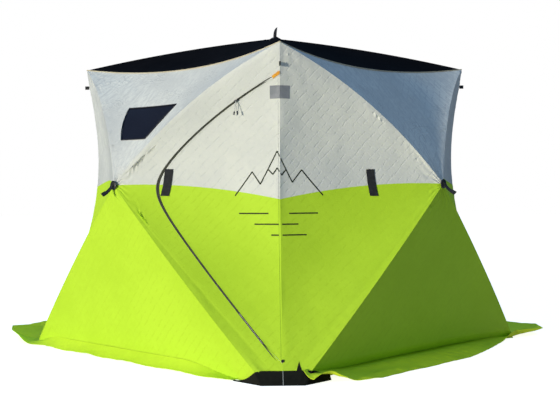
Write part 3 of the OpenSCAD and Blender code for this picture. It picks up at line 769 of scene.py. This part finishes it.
def add_window_panel(shell):
    """The front top panel, in four sheets round the window's opening."""
    q = even(WINDOW_CELLS)
    none, full, across = 0 * q, 1 + 0 * q, 2 * q - 1
    rise = lerp(HUB_HOLE_T, 1, q)
    share = even(RADIAL_CELLS // 2)
    for edge, opening in (((q, HUB_HOLE_T * full), (across, none)), ((q, full), (across, full)),
                          ((none, rise), (-full, q)), ((full, rise), (full, q))):
        s, t = (lerp(a[:, None], b[:, None], share) for a, b in zip(edge, window_point(*opening)))
        add_cloth(shell, top_point, s, t, FRONT, OUTWARD, X_AXIS, 0, 1.0)


def two_colours(name, node, sides, steps, flats, rests_on, upper=WHITE, ends=HUB_TO_EDGE, rows=RADIAL_CELLS,
                flap=False):
    """A white upper and a lime lower piece on the same side panels. Where a flat size is a length alone,
    the width follows from the area."""
    looks = ((upper, "white_fabric", 1.0), (LIME, "lime_fabric", LOWER_SLACK))
    for part, s, flat, (material, slot, slack) in zip(("upper", "lower"), steps, flats, looks):
        shell = Shell()
        for wall, side in sides:
            add_side(shell, wall, side, s, ends, rows, slack)
        flat = flat if isinstance(flat, tuple) else (shell.area / flat, flat)
        cover(shell, f"{name}_{part}_fabric", material, f"{node}_{part}", flat, flap)


def colour_steps(colour_s):
    """Values of s above the colour line, and below it."""
    upper, lower = lerp(0, colour_s, even(HALF_CELLS)), lerp(colour_s, SEAM_SHARE, even(HALF_CELLS))
    return upper, np.concatenate([lower, FOOT_STEPS])


def corner_panels():
    for wall, name in PLAIN_CORNERS:
        after = (wall + 1) % 4
        poles = [f"{WALL_NAMES[wall]}_poles", f"{WALL_NAMES[after]}_poles"]
        # The upper pieces of the plain corners take the white copy with painted shade.
        two_colours(name, f"{name}_corner", ((wall, 1), (after, -1)), colour_steps(PLAIN_S),
                    ((2.35, 0.95), (2.75, 1.05)), poles, upper=WHITE_SIDE_PAINTED_SHADE)
    two_colours("door_corner", "door_corner", ((RIGHT, -1),), colour_steps(COLOUR_S),
                ((1.30, 0.95), (1.45, 1.05)), ["right_poles"])


def door_panels():
    kinks = zip_ends(-ZIP_HALF, NEARLY_1)
    upper, lower = zip_steps(kinks, ZIP_CELLS)
    upper = np.concatenate([lerp(0, kinks[0], even(8))[:-1], upper])
    lower = np.concatenate([lower, lerp(kinks[1], SEAM_SHARE, even(6))[1:], FOOT_STEPS])
    for name, steps, flats, more in (
            ("door_surround", (upper, lower), (1.25, 1.60),
             {"ends": (HUB_HOLE_T, HUB_TAPE_EDGE), "rows": RADIAL_CELLS // 2}),
            ("door_flap", zip_steps(zip_ends(ZIP_HALF), ZIP_CELLS), ((1.00, 0.85), (1.15, 0.95)),
             {"ends": (DOOR_TAPE_EDGE, 1.0), "flap": True})):
        two_colours(name, name, ((FRONT, 1),), steps, flats, ["front_poles"], **more)


def roof_cover():
    s = even(ROOF_CELLS[0])
    shell = Shell()
    for wall in range(4):
        add_panel(shell, roof_point, s, HUB_TO_EDGE, ROOF_CELLS[1], wall, UP, X_AXIS, 700 + 40 * wall,
                  ROOF_SLACK)
    cover(shell, "roof_fabric", BLACK, "roof_panels", (1.82, 1.95))


def front_window():
    u, v = grid(np.linspace(-1, 1, 25), even(12))
    s, t = window_point(u, v)
    shell = Shell()
    sag = wide(0.002 * noise(np.stack([u, v], -1), 1.1, 5)) * OUTWARD
    shell.add(top_point(s, t, 0.002) + sag, top_point(s, t, 0.004) + sag, OUTWARD)
    obj = place(shell.build("front_window_film", FILM), "front_window")
    rise = even(25)[:-1]
    across, none, full = 2 * rise - 1, 0 * rise, 1 + 0 * rise
    s, t = window_point(np.concatenate([across, full, -across, -full]),
                        np.concatenate([none, rise, full, 1 - rise]))
    path = top_point(s, t, 0) + 0.001 * OUTWARD
    place(tube("window_binding", path, 0.0035, PLASTIC, closed=True))


# Pieces that lie on the fabric of the two panels beside the door seam
def on_fabric(wall, side, s, t, lift):
    """Points above the wrinkled outer face of a side panel."""
    plain = side_point(side)(s, t)
    slack = np.where(s < COLOUR_S, 1.0, LOWER_SLACK)
    push = wrinkles(plain, s, t, side_seed(wall, side), slack) + lift
    return turned(plain + wide(push) * out_of_side(side), wall)


def seam_q(z):
    return 1 - np.asarray(z, float) / CORNER_H


# Change of x for each metre of level distance from the seam
LEVEL_SHARE = 0.807


def beside_seam(side, distance, z):
    """s and t of points at a level distance from the corner seam, on either side of it."""
    x = side * (seam_at(seam_q(z)) - LEVEL_SHARE * np.asarray(distance, float))
    return solve_place(side_point(side), x, z, 0.5, 0.9)


def add_strip(shell, wall, side, s, t, lift, thick):
    """A thin closed sheet over a grid of s and t on a side panel."""
    shell.add(on_fabric(wall, side, s, t, lift + thick), on_fabric(wall, side, s, t, lift),
              turned(out_of_side(side), wall))


def strip_on_fabric(name, material, wall, side, s, t, node=None, flap=False, lift=0.0004,
                    thick=0.0010):
    shell = Shell()
    add_strip(shell, wall, side, s, t, lift, thick)
    return place(shell.build(name, material), node, flap), shell.area


# Wall, side and name of the panels on the left and on the right of the door seam, and if they open
NEAR_SIDES = ((FRONT, 1, "left", True), (RIGHT, -1, "right", False))
PATCH_Z = (1.528, 1.600)
PATCH_W = 0.066


def reflective_patch():
    for wall, side, word, flap in NEAR_SIDES:
        s, t = beside_seam(side, *grid(np.linspace(0.0005, PATCH_W, 9), np.linspace(*PATCH_Z, 9)))
        obj, _ = strip_on_fabric(f"reflective_patch_{word}", PATCH, wall, side, s, t, flap=flap, thick=0.0014)


# A plain line drawing of hills over water, half on each side of the door seam
PEAKS = ((-0.30, 0.985), (-0.19, 1.120), (-0.135, 1.050), (-0.02, 1.235), (0.085, 1.060), (0.15, 1.130),
         (0.29, 0.985))
SNOW_LINE = ((-0.085, 1.135), (-0.05, 1.105), (-0.02, 1.140), (0.012, 1.100), (0.042, 1.132))
RIPPLES = (((-0.27, 0.885), (-0.08, 0.885)), ((0.06, 0.885), (0.25, 0.885)), ((-0.17, 0.825), (0.12, 0.825)),
           ((-0.06, 0.765), (0.17, 0.765)))
STROKE_W = 0.0075
STROKE_STEP = 0.012


def stroke_points(line):
    """A polyline with even steps, split at the seam into its left and right stretches."""
    left, right = [], []
    for (x0, z0), (x1, z1) in zip(line[:-1], line[1:]):
        count = max(2, int(math.hypot(x1 - x0, z1 - z0) / STROKE_STEP))
        for k in range(count + 1):
            x, z = lerp(x0, x1, k / count), lerp(z0, z1, k / count)
            if x < -0.001:
                left.append((-x, z))
            elif x > 0.001:
                right.append((x, z))
    return left, right


def line_drawing():
    for wall, side, word, flap in NEAR_SIDES:
        shell = Shell()
        for line in (PEAKS, SNOW_LINE, *RIPPLES):
            run = np.array(stroke_points(line)[0 if flap else 1])
            if len(run) < 3:
                continue
            way = np.gradient(run, axis=0)
            normal = unit(np.stack([-way[:, 1], way[:, 0]], -1)) * STROKE_W / 2
            d, z = np.moveaxis(np.stack([run - normal, run + normal], 1), -1, 0)
            s, t = beside_seam(side, np.clip(d, 0.0008, 1), z)
            add_strip(shell, wall, side, s, t, 0.0002, 0.0006)
        place(shell.build(f"printed_lines_{word}", PRINT), flap=flap)


# Zip: two raised halves that meet on the zip line, an orange end, a slider and two pulls
ZIP_MEET = 0.0006
COIL_HALF = 0.0055
COIL_STEPS = 110
SLIDER_S = 0.1165
SLIDER_L = 0.026
SLIDER_W = 0.0124
SLIDER_T = 0.0080
SLIDER_FLARE = 0.0022
TOGGLE_L = 0.022
PULL_L = 0.062
PULL_R = 0.0016
END_STOP_W = 0.017
END_STOP_RISE = 0.022


def zip_strip(shell, s_values, away, columns, height, material):
    """A raised strip beside the zip line, between two distances from it."""
    s = np.repeat(s_values[:, None], columns + 1, 1)
    across = np.linspace(*away, columns + 1)
    t = zip_t(s, across)
    outer = on_fabric(FRONT, 1, s, t, 0) + wide(height(np.abs(across)))[None] * out_of_side(1)
    length = np.concatenate([[0], np.cumsum(np.linalg.norm(np.diff(outer[:, 0], axis=0), axis=-1))])
    uv = np.stack([np.repeat(length[:, None], columns + 1, 1), np.broadcast_to(across, s.shape)], -1)
    shell.add(outer, on_fabric(FRONT, 1, s, t, -0.003), out_of_side(1), uv, (material,) * 3)


def coil_height(d):
    return 0.0012 + 0.0020 * np.exp(-((d - 0.0026) / 0.0018) ** 2)


def tape_height(d):
    return 0.0008 + 0 * d


def zip_half(name, node, side):
    """Half of the zip: its dark coil, and its tape in the colours of the two panels."""
    upper, lower = zip_steps(zip_ends(side * (ZIP_HALF if side > 0 else ZIP_MEET)), COIL_STEPS)
    shell = Shell()
    whole = np.concatenate([upper[:-1], lower])
    zip_strip(shell, whole, (side * ZIP_MEET, side * COIL_HALF), 4, coil_height, 0)
    for s_values, material in ((upper, 1), (lower, 2)):
        zip_strip(shell, s_values, (side * COIL_HALF, side * ZIP_HALF), 2, tape_height, material)
    place(shell.build(name, ZIP, WHITE, LIME), node, side > 0)


def zip_gussets():
    """Small pieces of fabric between each end of the zip and the corner seam."""
    for k, (part, clear, material, slot) in enumerate((("upper", -0.0006, WHITE, "white_fabric"),
                                                       ("lower", 0.0006, LIME, "lime_fabric"))):
        s = np.linspace(zip_ends(ZIP_HALF)[k] + clear, zip_ends(-ZIP_HALF, NEARLY_1)[k], 15)
        shell = Shell()
        add_side(shell, FRONT, 1, s, (HUB_TAPE_EDGE, 1.0), 8, 0.0)
        place(shell.build(f"zip_gusset_{part}", material, LINING))


def zip_end_stop():
    """Orange tape between the zip's upper end and the seam."""
    start_s = zip_ends(0)[0]
    tip = side_point(1)(start_s, ZIP_TIP_T)
    end = seam(1, seam_q(tip[2] + END_STOP_RISE))
    side_way = unit(np.cross(unit(end - tip), out_of_side(1)))
    middle = tip + np.linspace(-0.25, 1, 13)[:, None] * (end - tip)
    spots = middle[:, None] + centred(5, END_STOP_W)[:, None] * side_way
    s, t = solve_place(side_point(1), spots[..., 0], spots[..., 2], start_s, ZIP_TIP_T)
    strip_on_fabric("zip_end_stop", ORANGE, FRONT, 1, s, t, lift=0.0030, thick=0.0022)


def squared(wave):
    return np.sign(wave) * np.abs(wave) ** 0.6


def zip_slider():
    """A flat rounded block, wider at its front, with two pulls: short cords with moulded ends."""
    here, ahead = (side_point(1)(s, zip_t(s, 0)) for s in (SLIDER_S, SLIDER_S + 1e-3))
    along = unit(ahead - here)
    normal = unit(out_of_side(1) - (out_of_side(1) @ along) * along)
    across = np.cross(normal, along)
    angle = np.linspace(0, 2 * math.pi, 20, endpoint=False)[:, None]
    rings = []
    for q in np.linspace(-1, 1, 11):
        end = math.sqrt(max(0.05, 1 - q ** 8))
        rings.append(here + SLIDER_L / 2 * q * along + SLIDER_W / 2 * normal
                     + squared(np.cos(angle)) * (SLIDER_W / 2 + SLIDER_FLARE * q) * end * across
                     + squared(np.sin(angle)) * SLIDER_T / 2 * end * normal)
    place(loft("zip_slider", rings, PLASTIC))
    exit_point = here + 0.0105 * normal
    q = even(15)
    for name, sway in (("a", -0.010), ("b", 0.012)):
        drop = np.stack([sway * q ** 1.5, -0.004 * q, -PULL_L * q], -1)
        path = exit_point + drop + 0.004 * np.sin(math.pi * q)[:, None] * normal
        cord = place(tube(f"zip_pull_cord_{name}", path, PULL_R, BRIGHT_STITCH))
        tail = unit(path[-1] - path[-2])
        first = unit(np.cross(tail, normal))
        ring = circle(20, first, 0.7 * np.cross(tail, first))
        swell = [0.0022 + 0.0022 * math.sin(math.pi * (0.15 + 0.8 * k)) for k in even(8)]
        rings = [path[-1] + (TOGGLE_L * k - 0.003) * tail + r * ring for k, r in zip(even(8), swell)]
        toggle = place(loft(f"zip_pull_end_{name}", rings, PLASTIC))


# Tabs, straps and loops of webbing
def tie_back_tab(name, node, wall, side, t, lean):
    middle = side_point(side)(COLOUR_S, t)
    a, b = grid(centred(9, TAB_W), centred(25, TAB_L))
    x = middle[0] + math.cos(lean) * a + math.sin(lean) * b
    z = middle[2] + TAB_RISE - math.sin(lean) * a + math.cos(lean) * b
    s, t = solve_place(side_point(side), x, z, COLOUR_S, t)
    obj, area = strip_on_fabric(name, WEBBING, wall, side, s, t, node=node, flap=wall == FRONT, lift=0.0006,
                                thick=0.0028)


def add_strap(shell, reach, curl, to_place):
    """A strap that hangs from zero, bends outwards and twists. Returns its length."""
    q = even(32)
    path = np.stack([curl * q ** 2, -reach * q ** 2, WEBBING_W / 2 - STRAP_L * q], -1)
    normal = unit(np.cross(unit(np.gradient(path, axis=0)), X_AXIS))
    normal = np.where(normal[:, 1:2] > 0, -normal, normal)
    turn = wide(-0.8 * np.sign(curl) * q ** 1.5)
    side_way = np.cos(turn) * X_AXIS + np.sin(turn) * normal
    outer = path[:, None] + centred(7, WEBBING_W)[:, None] * side_way[:, None]
    thick = WEBBING_T * (1 + 0.9 * smooth((q - 0.72) / 0.05))
    inner = outer + thick[:, None, None] * normal[:, None]
    shell.add(to_place(inner), to_place(outer), to_place(OUTWARD) - to_place(0 * OUTWARD))
    return path_length(path)


def on_wall_hub(wall):
    return lambda points: turned(points + HUB + (BUTTON_H + 0.001) * OUTWARD, wall)


def on_roof_hub(points):
    x, y, z = np.moveaxis(np.asarray(points, float), -1, 0)
    lift = BUTTON_H + 0.0009 + WEBBING_W / 2
    return np.stack([(x + y) / ROOT2, (x - y) / ROOT2, -z], -1) + ROOF_TOP + lift * UP


def pull_straps():
    shell = Shell()
    total = sum(add_strap(shell, STRAP_REACH, curl, on_wall_hub(wall))
                for wall, curl in enumerate((0.012, -0.010, 0.008, -0.012)))
    total += add_strap(shell, STRAP_REACH / 2, 0.010, on_roof_hub)
    obj = place(shell.build("hub_straps", WEBBING), "hub_pull_straps")


LOOP_R = 0.0042
LOOP_T = 0.0012


def corner_loops():
    reach = ROOT2 * seam_at(LOOP_Q - WEBBING_W / 2 / CORNER_H) + 0.0004
    bend = np.linspace(-math.pi / 2, math.pi / 2, 9)
    run = LOOP_L - LOOP_R
    path = np.concatenate([[[0, -0.0016], [run * 0.6, -LOOP_R]],
                           np.stack([run + LOOP_R * np.cos(bend), LOOP_R * np.sin(bend)], -1),
                           [[run * 0.6, LOOP_R], [0, 0.0016]]])
    way = unit(np.gradient(path, axis=0))
    normal = np.stack([way[:, 1], -way[:, 0]], -1)
    height = (1 - LOOP_Q) * CORNER_H + centred(5, WEBBING_W)
    shell = Shell()
    for wall in range(4):
        sheets = []
        for flat in (path, path - LOOP_T * normal):
            x, y = reach + flat[:, :1], flat[:, 1:]
            points = np.stack(np.broadcast_arrays((x + y) / ROOT2, (y - x) / ROOT2, height), -1)
            sheets.append(turned(points, wall))
        shell.add(*sheets, turned(SEAM_LINE, wall))
    obj = place(shell.build("corner_webbing_loops", WEBBING), "corner_loops")


# Seam lines and piping
PIPING_R = 0.0034
STITCH_R = 0.0011
STITCH_IN = 0.011


def trim():
    q = even(89)
    for wall, name in enumerate(WALL_NAMES):
        path = turned(roof_edge(q, 0) + 0.0012 * UP + 0.0012 * OUTWARD, wall)
        place(tube(f"{name}_roof_piping", path, PIPING_R, PIPING))
    top, bottom = zip_ends(ZIP_HALF)
    runs = [(*corner, 0.01, PLAIN_S, SEAM_SHARE) for corner in PLAIN_CORNERS]
    for wall, name, start, turn_s, stop in (*runs, (FRONT, "door", top + 0.004, COLOUR_S, bottom - 0.004)):
        for part, ends, material in (("upper", (start, turn_s), STITCH),
                                     ("lower", (turn_s, stop), LIME_STITCH)):
            s = np.linspace(*ends, 80)
            path = on_fabric(wall, 1, s, np.full_like(s, 1 - STITCH_IN / RADIAL_L), 0.0004)
            obj = tube(f"{name}_seam_stitching_{part}", path, STITCH_R, material, sides=6)
            place(obj, flap=wall == FRONT)


# Snow skirt and sill
SKIRT_ROWS = 14
SKIRT_WAVES = 5
CORNER_SPREAD = 0.150
SKIRT_SEW_H = (0.060, 0.034, 0.020, 0.020)
SKIRT_END_H = 0.014
SKIRT_DOOR_H = 0.005
WALL_LEAN = (HUB_SPAN / 2 - BASE_R) / HUB_H
MITRE = math.tan(math.radians(22.5))
# Seen widths of each wall's skirt: at its left end, in its middle and at its right end
SKIRT_WIDTHS = ((0.130, 0.070, 0.035), (0.075, 0.200, 0.020), (SKIRT_W,) * 3, (SKIRT_W,) * 3)
# Lengths over which those end widths change into the middle one
WIDTH_RUNS = ((0.23, 0.42), (0.42, 0.95), (0.42, 0.42), (0.42, 0.42))
# Reach and lift of the skirt's tip at the corner on the right of each wall
TIP_REACH = (0, 0.165, 0.170, 0.140)
TIP_LIFT = (0, 0.050, 0.110, 0.070)
# Rise of each wall's skirt beside its corners
HUMPS = (0, 0, 0.030, 0.055)
# Ruffle at the left end of the right wall's skirt
RUFFLE_H = 0.034
RUFFLE_RATE = 22.4
RUFFLE_U = -0.935


def skirt_ribs(wall):
    """Inner and outer points, outer lift and seam height of each rib of a skirt, from left to right."""
    free = {-1: wall != RIGHT, 1: wall != FRONT}
    corner = {-1: (wall - 1) % 4, 1: wall}
    cut = {-1: 0 if free[-1] else 0.012, 1: 0 if free[1] else SILL_L + SKIRT_GAP}
    u = np.linspace(-FOOT_U + cut[-1], FOOT_U - cut[1], 150)
    first, middle, last = SKIRT_WIDTHS[wall]
    first_run, last_run = WIDTH_RUNS[wall]
    near_first, near_last = 1 - smooth((u + FOOT_U) / first_run), 1 - smooth((FOOT_U - u) / last_run)
    width = middle + near_first * (first - middle) + near_last * (last - middle)
    across = bulge(u / FOOT_U / 2 + 0.5)
    outer_y = BASE_BOW * across - BASE_R - SKIRT_GAP - width
    inner_y = outer_y + width + (0 if wall == FRONT else HEM_IN * np.sqrt(across))
    turn = np.where(u < 0, first * free[-1], last * free[1]) * MITRE
    inner = np.stack([u, inner_y], -1)
    outer = np.stack([u + turn * (np.abs(u) / FOOT_U) ** 4 * np.sign(u), outer_y], -1)
    lift = SKIRT_WAVE * (0.5 + 0.5 * np.cos(math.pi * SKIRT_WAVES * u / FOOT_U)) * np.minimum(1, width / 0.15)
    lift = lift * (0.15 if wall == RIGHT else 1)
    sew = np.full_like(u, SKIRT_SEW_H[wall])
    if wall == FRONT:
        sew = lerp(SKIRT_DOOR_H, sew, smooth((u[-1] - u) / 0.45))
    for side in (-1, 1):
        if free[side]:
            sew = lerp(SKIRT_END_H, sew, smooth((FOOT_U - side * u) / 0.25))
            spread = CORNER_SPREAD * (0.4 if wall == FRONT else 1)
            lift = lift + TIP_LIFT[corner[side]] * np.exp(-((FOOT_U - side * u) / spread) ** 2)
            lift = lift + HUMPS[wall] * np.exp(-((FOOT_U - side * u - 0.24) / 0.12) ** 2)
    if wall == RIGHT:
        ruffle = RUFFLE_H * (1 + np.cos(RUFFLE_RATE * (u - RUFFLE_U)))
        lift = lift + near_first * (ruffle + 0.030 * smooth((-0.9 - u) / 0.15))
        sew = sew + 0.036 * near_first
    share = np.linspace(0, 0.995, 12)[1:, None]
    for side, end in ((-1, 0), (1, -1)):
        if not free[side]:
            continue
        near, reach = SEAM_R - 0.014, SEAM_R + TIP_REACH[corner[side]]
        more = (lerp(inner[end], np.array([side * near, -near]), share),
                lerp(outer[end], np.array([side * reach, -reach]), share),
                np.full(len(share), lift[end]), np.full(len(share), sew[end]))
        parts = zip((inner, outer, lift, sew), more)
        inner, outer, lift, sew = (np.concatenate([b[::-1], a] if side < 0 else [a, b]) for a, b in parts)
    return inner, outer, lift, sew


def skirts():
    w = even(SKIRT_ROWS)
    fall = (1 - w) ** 1.2
    for wall, name in enumerate(WALL_NAMES):
        inner, outer, lift, sew = skirt_ribs(wall)
        flat = inner[:, None] + w[None, :, None] * (outer - inner)[:, None]
        ripple = 0.004 * noise(flat, (0.16, 0.16), 900 + wall) * w * (1 - 0.4 * w)
        rise = lift[:, None] * w ** 2 + sew[:, None] * fall + np.abs(ripple)
        lean = (WALL_LEAN * sew)[:, None] * fall
        low = np.stack([flat[..., 0], flat[..., 1] - lean, rise], -1)
        shell = Shell()
        shell.add(turned(low + SKIRT_T * UP, wall), turned(low, wall), UP)
        # The skirts take lighter lime copies, as painted sunlight.
        material = FRONT_SKIRT_LIME_PAINTED_LIGHT if wall == FRONT else SKIRT_LIME_PAINTED_LIGHT
        obj = place(shell.build(f"{name}_skirt_fabric", material), f"{name}_skirt")


SILL_GAP = 0.0024
SILL_STEPS = 12
# Shares of the sill's height at its ends
SILL_ENDS = (0.10, 0.62)


def sill_path(out, height):
    """The sill's line in plan at a height, from its end on the front wall to its end on the right wall."""
    up_t = 1 - height / HUB_H
    share = (FOOT_U - SILL_L) / (2 * FOOT_U)
    end = bottom_point(0.5 + share / up_t, up_t)
    fold = lower_fold(1, up_t, 0)
    far = np.array([end[0], end[1] - out])
    near = np.array([fold[0] + out * MITRE, fold[1] - out])
    tip = (seam(1, seam_q(height)) + out * SEAM_LINE)[:2]
    k = even(SILL_STEPS)[:, None]
    half = np.concatenate([lerp(far, near, k), lerp(near, tip, k)[1:]])
    return np.concatenate([half, -half[-2::-1, ::-1]])


def sill():
    low, high = sill_path(SILL_FLARE, 0), sill_path(SILL_GAP, SILL_H)
    run = np.linspace(0, 1, len(low))
    v = even(8)
    front = lerp(SILL_ENDS[0], 1, smooth((run - 0.02) / 0.30))
    right = lerp(SILL_ENDS[1], 1, smooth((0.98 - run) / 0.25))
    share = v[None, :] * np.where(run < 0.5, front, right)[:, None]
    out = unit(low - high)
    along, up = np.broadcast_arrays(run[:, None] * 0.9, v * 0.07)
    fold = 0.0022 * noise(np.stack([along, up], -1), (0.05, 0.09), 77) * np.sin(math.pi * v)
    plan = low[:, None] + share[..., None] * (high - low)[:, None] + fold[..., None] * out[:, None]
    outer = np.concatenate([plan, (share * SILL_H)[..., None]], -1)
    inner = outer - WEBBING_T * np.concatenate([out, 0 * out[:, :1]], -1)[:, None]
    shell = Shell()
    shell.add(outer, inner, SEAM_LINE)
    obj = place(shell.build("door_sill_fabric", SILL_BLACK), "door_sill")
    seam_line = outer[len(low) // 2] + 0.0012 * np.array([1, -1, 0.4])
    place(tube("sill_seam_stitching", seam_line, 0.0012, BRIGHT_STITCH, sides=6))


EYELET_Z = 0.112
EYELET_R = 0.0085
SLIT_Z = (0.062, 0.108)
SLIT_PLACE = 0.083
SLIT_W = 0.026


def corner_fittings():
    """Black eyelet under the zip's lower end, and a dark strip painted as the shade inside the slit in the
    hem beside it.
    """
    centre = seam(1, seam_q(EYELET_Z)) + 0.003 * SEAM_LINE
    ring = EYELET_R * circle(28, np.array([1.0, 1, 0]) / ROOT2, UP)
    rings = [centre + radius * ring + lift * SEAM_LINE for radius, lift in
             ((1.0, -0.003), (1.0, 0.001), (0.85, 0.0026), (0.5, 0.0030), (0.42, 0.0008))]
    place(loft("seam_eyelet", rings, PLASTIC))
    share = even(8)[:, None]
    d = SLIT_PLACE + centred(5, SLIT_W) * (1 - 0.94 * share)
    s, t = beside_seam(-1, d, np.repeat(lerp(*SLIT_Z, share), 5, 1))
    # A dark strip painted as the shade inside the slit.
    strip_on_fabric("hem_slit_painted_shade", SILL_BLACK, RIGHT, -1, s, t)


def dress(material, *nodes):
    """A carried-over solid gets one of this script's materials."""
    for node in nodes:
        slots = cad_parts[node].data.materials
        slots.clear()
        slots.append(material)


zip_end_stop()
zip_slider()
wall_panels()
corner_panels()
door_panels()
roof_cover()
front_window()
zip_half("surround_zip_tape", "surround_zip", -1)
zip_half("door_zip_tape", "door_zip", 1)
zip_gussets()
tie_back_tab("door_tie_tab", "door_tab", FRONT, 1, DOOR_TAB_T, DOOR_TAB_LEAN)
tie_back_tab("wall_tie_tab", "wall_tab", RIGHT, -1, WALL_TAB_T, 0.0)
pull_straps()
corner_loops()
reflective_patch()
line_drawing()
trim()
skirts()
sill()
corner_fittings()
dress(PLASTIC, "wall_hubs", "roof_hub", "pole_caps", "pole_feet")
dress(POLE, *(f"{name}_poles" for name in WALL_NAMES), "roof_poles")


# Stage, light and camera. The backdrop is white to the camera alone
BACKDROP = (1, 1, 1)
FLOOR_COLOUR = (0.80, 0.79, 0.77)
FLOOR_GLOW_COLOUR = (1.0, 0.76, 0.40)
FLOOR_GLOW = (0.14, 0.85)
SUN_STRENGTH = 3.05
SUN_COLOUR = (1.0, 0.95, 0.85)
SUN_WIDTH = math.radians(6)
TO_SUN = (-0.02, -0.995, 0.06)
SKY_COLOUR = (0.36, 0.60, 1.0)
SKY_STRENGTH = (0.11, 0.95)


def floor():
    bpy.ops.mesh.primitive_plane_add(size=60)
    plane = bpy.context.object
    plane.name = "floor"
    look = Nodes(bpy.data.materials.new("floor"))
    seen = look.node("LightPath").outputs["Is Camera Ray"]
    plane.data.materials.append(look.shader("Principled BSDF", {
        "Base Color": (*FLOOR_COLOUR, 1), "Roughness": 0.9,
        "Emission Color": look.mix(seen, FLOOR_GLOW_COLOUR, BACKDROP),
        "Emission Strength": look.ramp(seen, 0.0, 1.0, *FLOOR_GLOW)}))


def light():
    sun = bpy.data.objects.new("key", bpy.data.lights.new("key", "SUN"))
    sun.data.energy, sun.data.color, sun.data.angle = SUN_STRENGTH, SUN_COLOUR, SUN_WIDTH
    sun.rotation_euler = Vector(TO_SUN).to_track_quat("Z", "Y").to_euler()
    bpy.context.collection.objects.link(sun)
    world = Nodes(bpy.data.worlds.new("studio"))
    bpy.context.scene.world = world.owner
    rays = world.node("LightPath").outputs
    seen = world.maths("MAXIMUM", rays["Is Camera Ray"], rays["Is Transmission Ray"])
    height = world.axes(world.node("TexCoord").outputs["Generated"])["Z"]
    world.shader("Background", {
        "Color": world.mix(seen, SKY_COLOUR, BACKDROP),
        "Strength": world.maths("MAXIMUM", seen, world.ramp(height, 0.40, 1.0, *SKY_STRENGTH))})


CAMERA_AZIMUTH = math.radians(43.833)
CAMERA_DISTANCE = 6.707
CAMERA_HEIGHT = 1.0165
CAMERA_PITCH = math.radians(-1.172)
CAMERA_ROLL = math.radians(-0.31)
FOCAL_PIXELS = 978.38
IMAGE_WIDTH = 560
AXIS_OFFSET_PIXELS = 280 - 275.87


def camera():
    data = bpy.data.cameras.new("camera")
    data.sensor_width = 36
    data.lens = FOCAL_PIXELS / IMAGE_WIDTH * data.sensor_width
    obj = bpy.data.objects.new("camera", data)
    bpy.context.collection.objects.link(obj)
    bpy.context.scene.camera = obj
    stand = Vector((0, -CAMERA_DISTANCE, CAMERA_HEIGHT))
    aside = math.atan(AXIS_OFFSET_PIXELS / FOCAL_PIXELS)
    turns = ((math.pi / 2 + CAMERA_PITCH, "X"), (CAMERA_ROLL, "Z"), (-aside, "Y"))
    obj.matrix_world = Matrix.Rotation(CAMERA_AZIMUTH, 4, "Z") @ Matrix.Translation(stand)
    for angle, axis in turns:
        obj.matrix_world = obj.matrix_world @ Matrix.Rotation(angle, 4, axis)


floor()
light()
camera()
bpy.context.scene.view_settings.view_transform = "Standard"
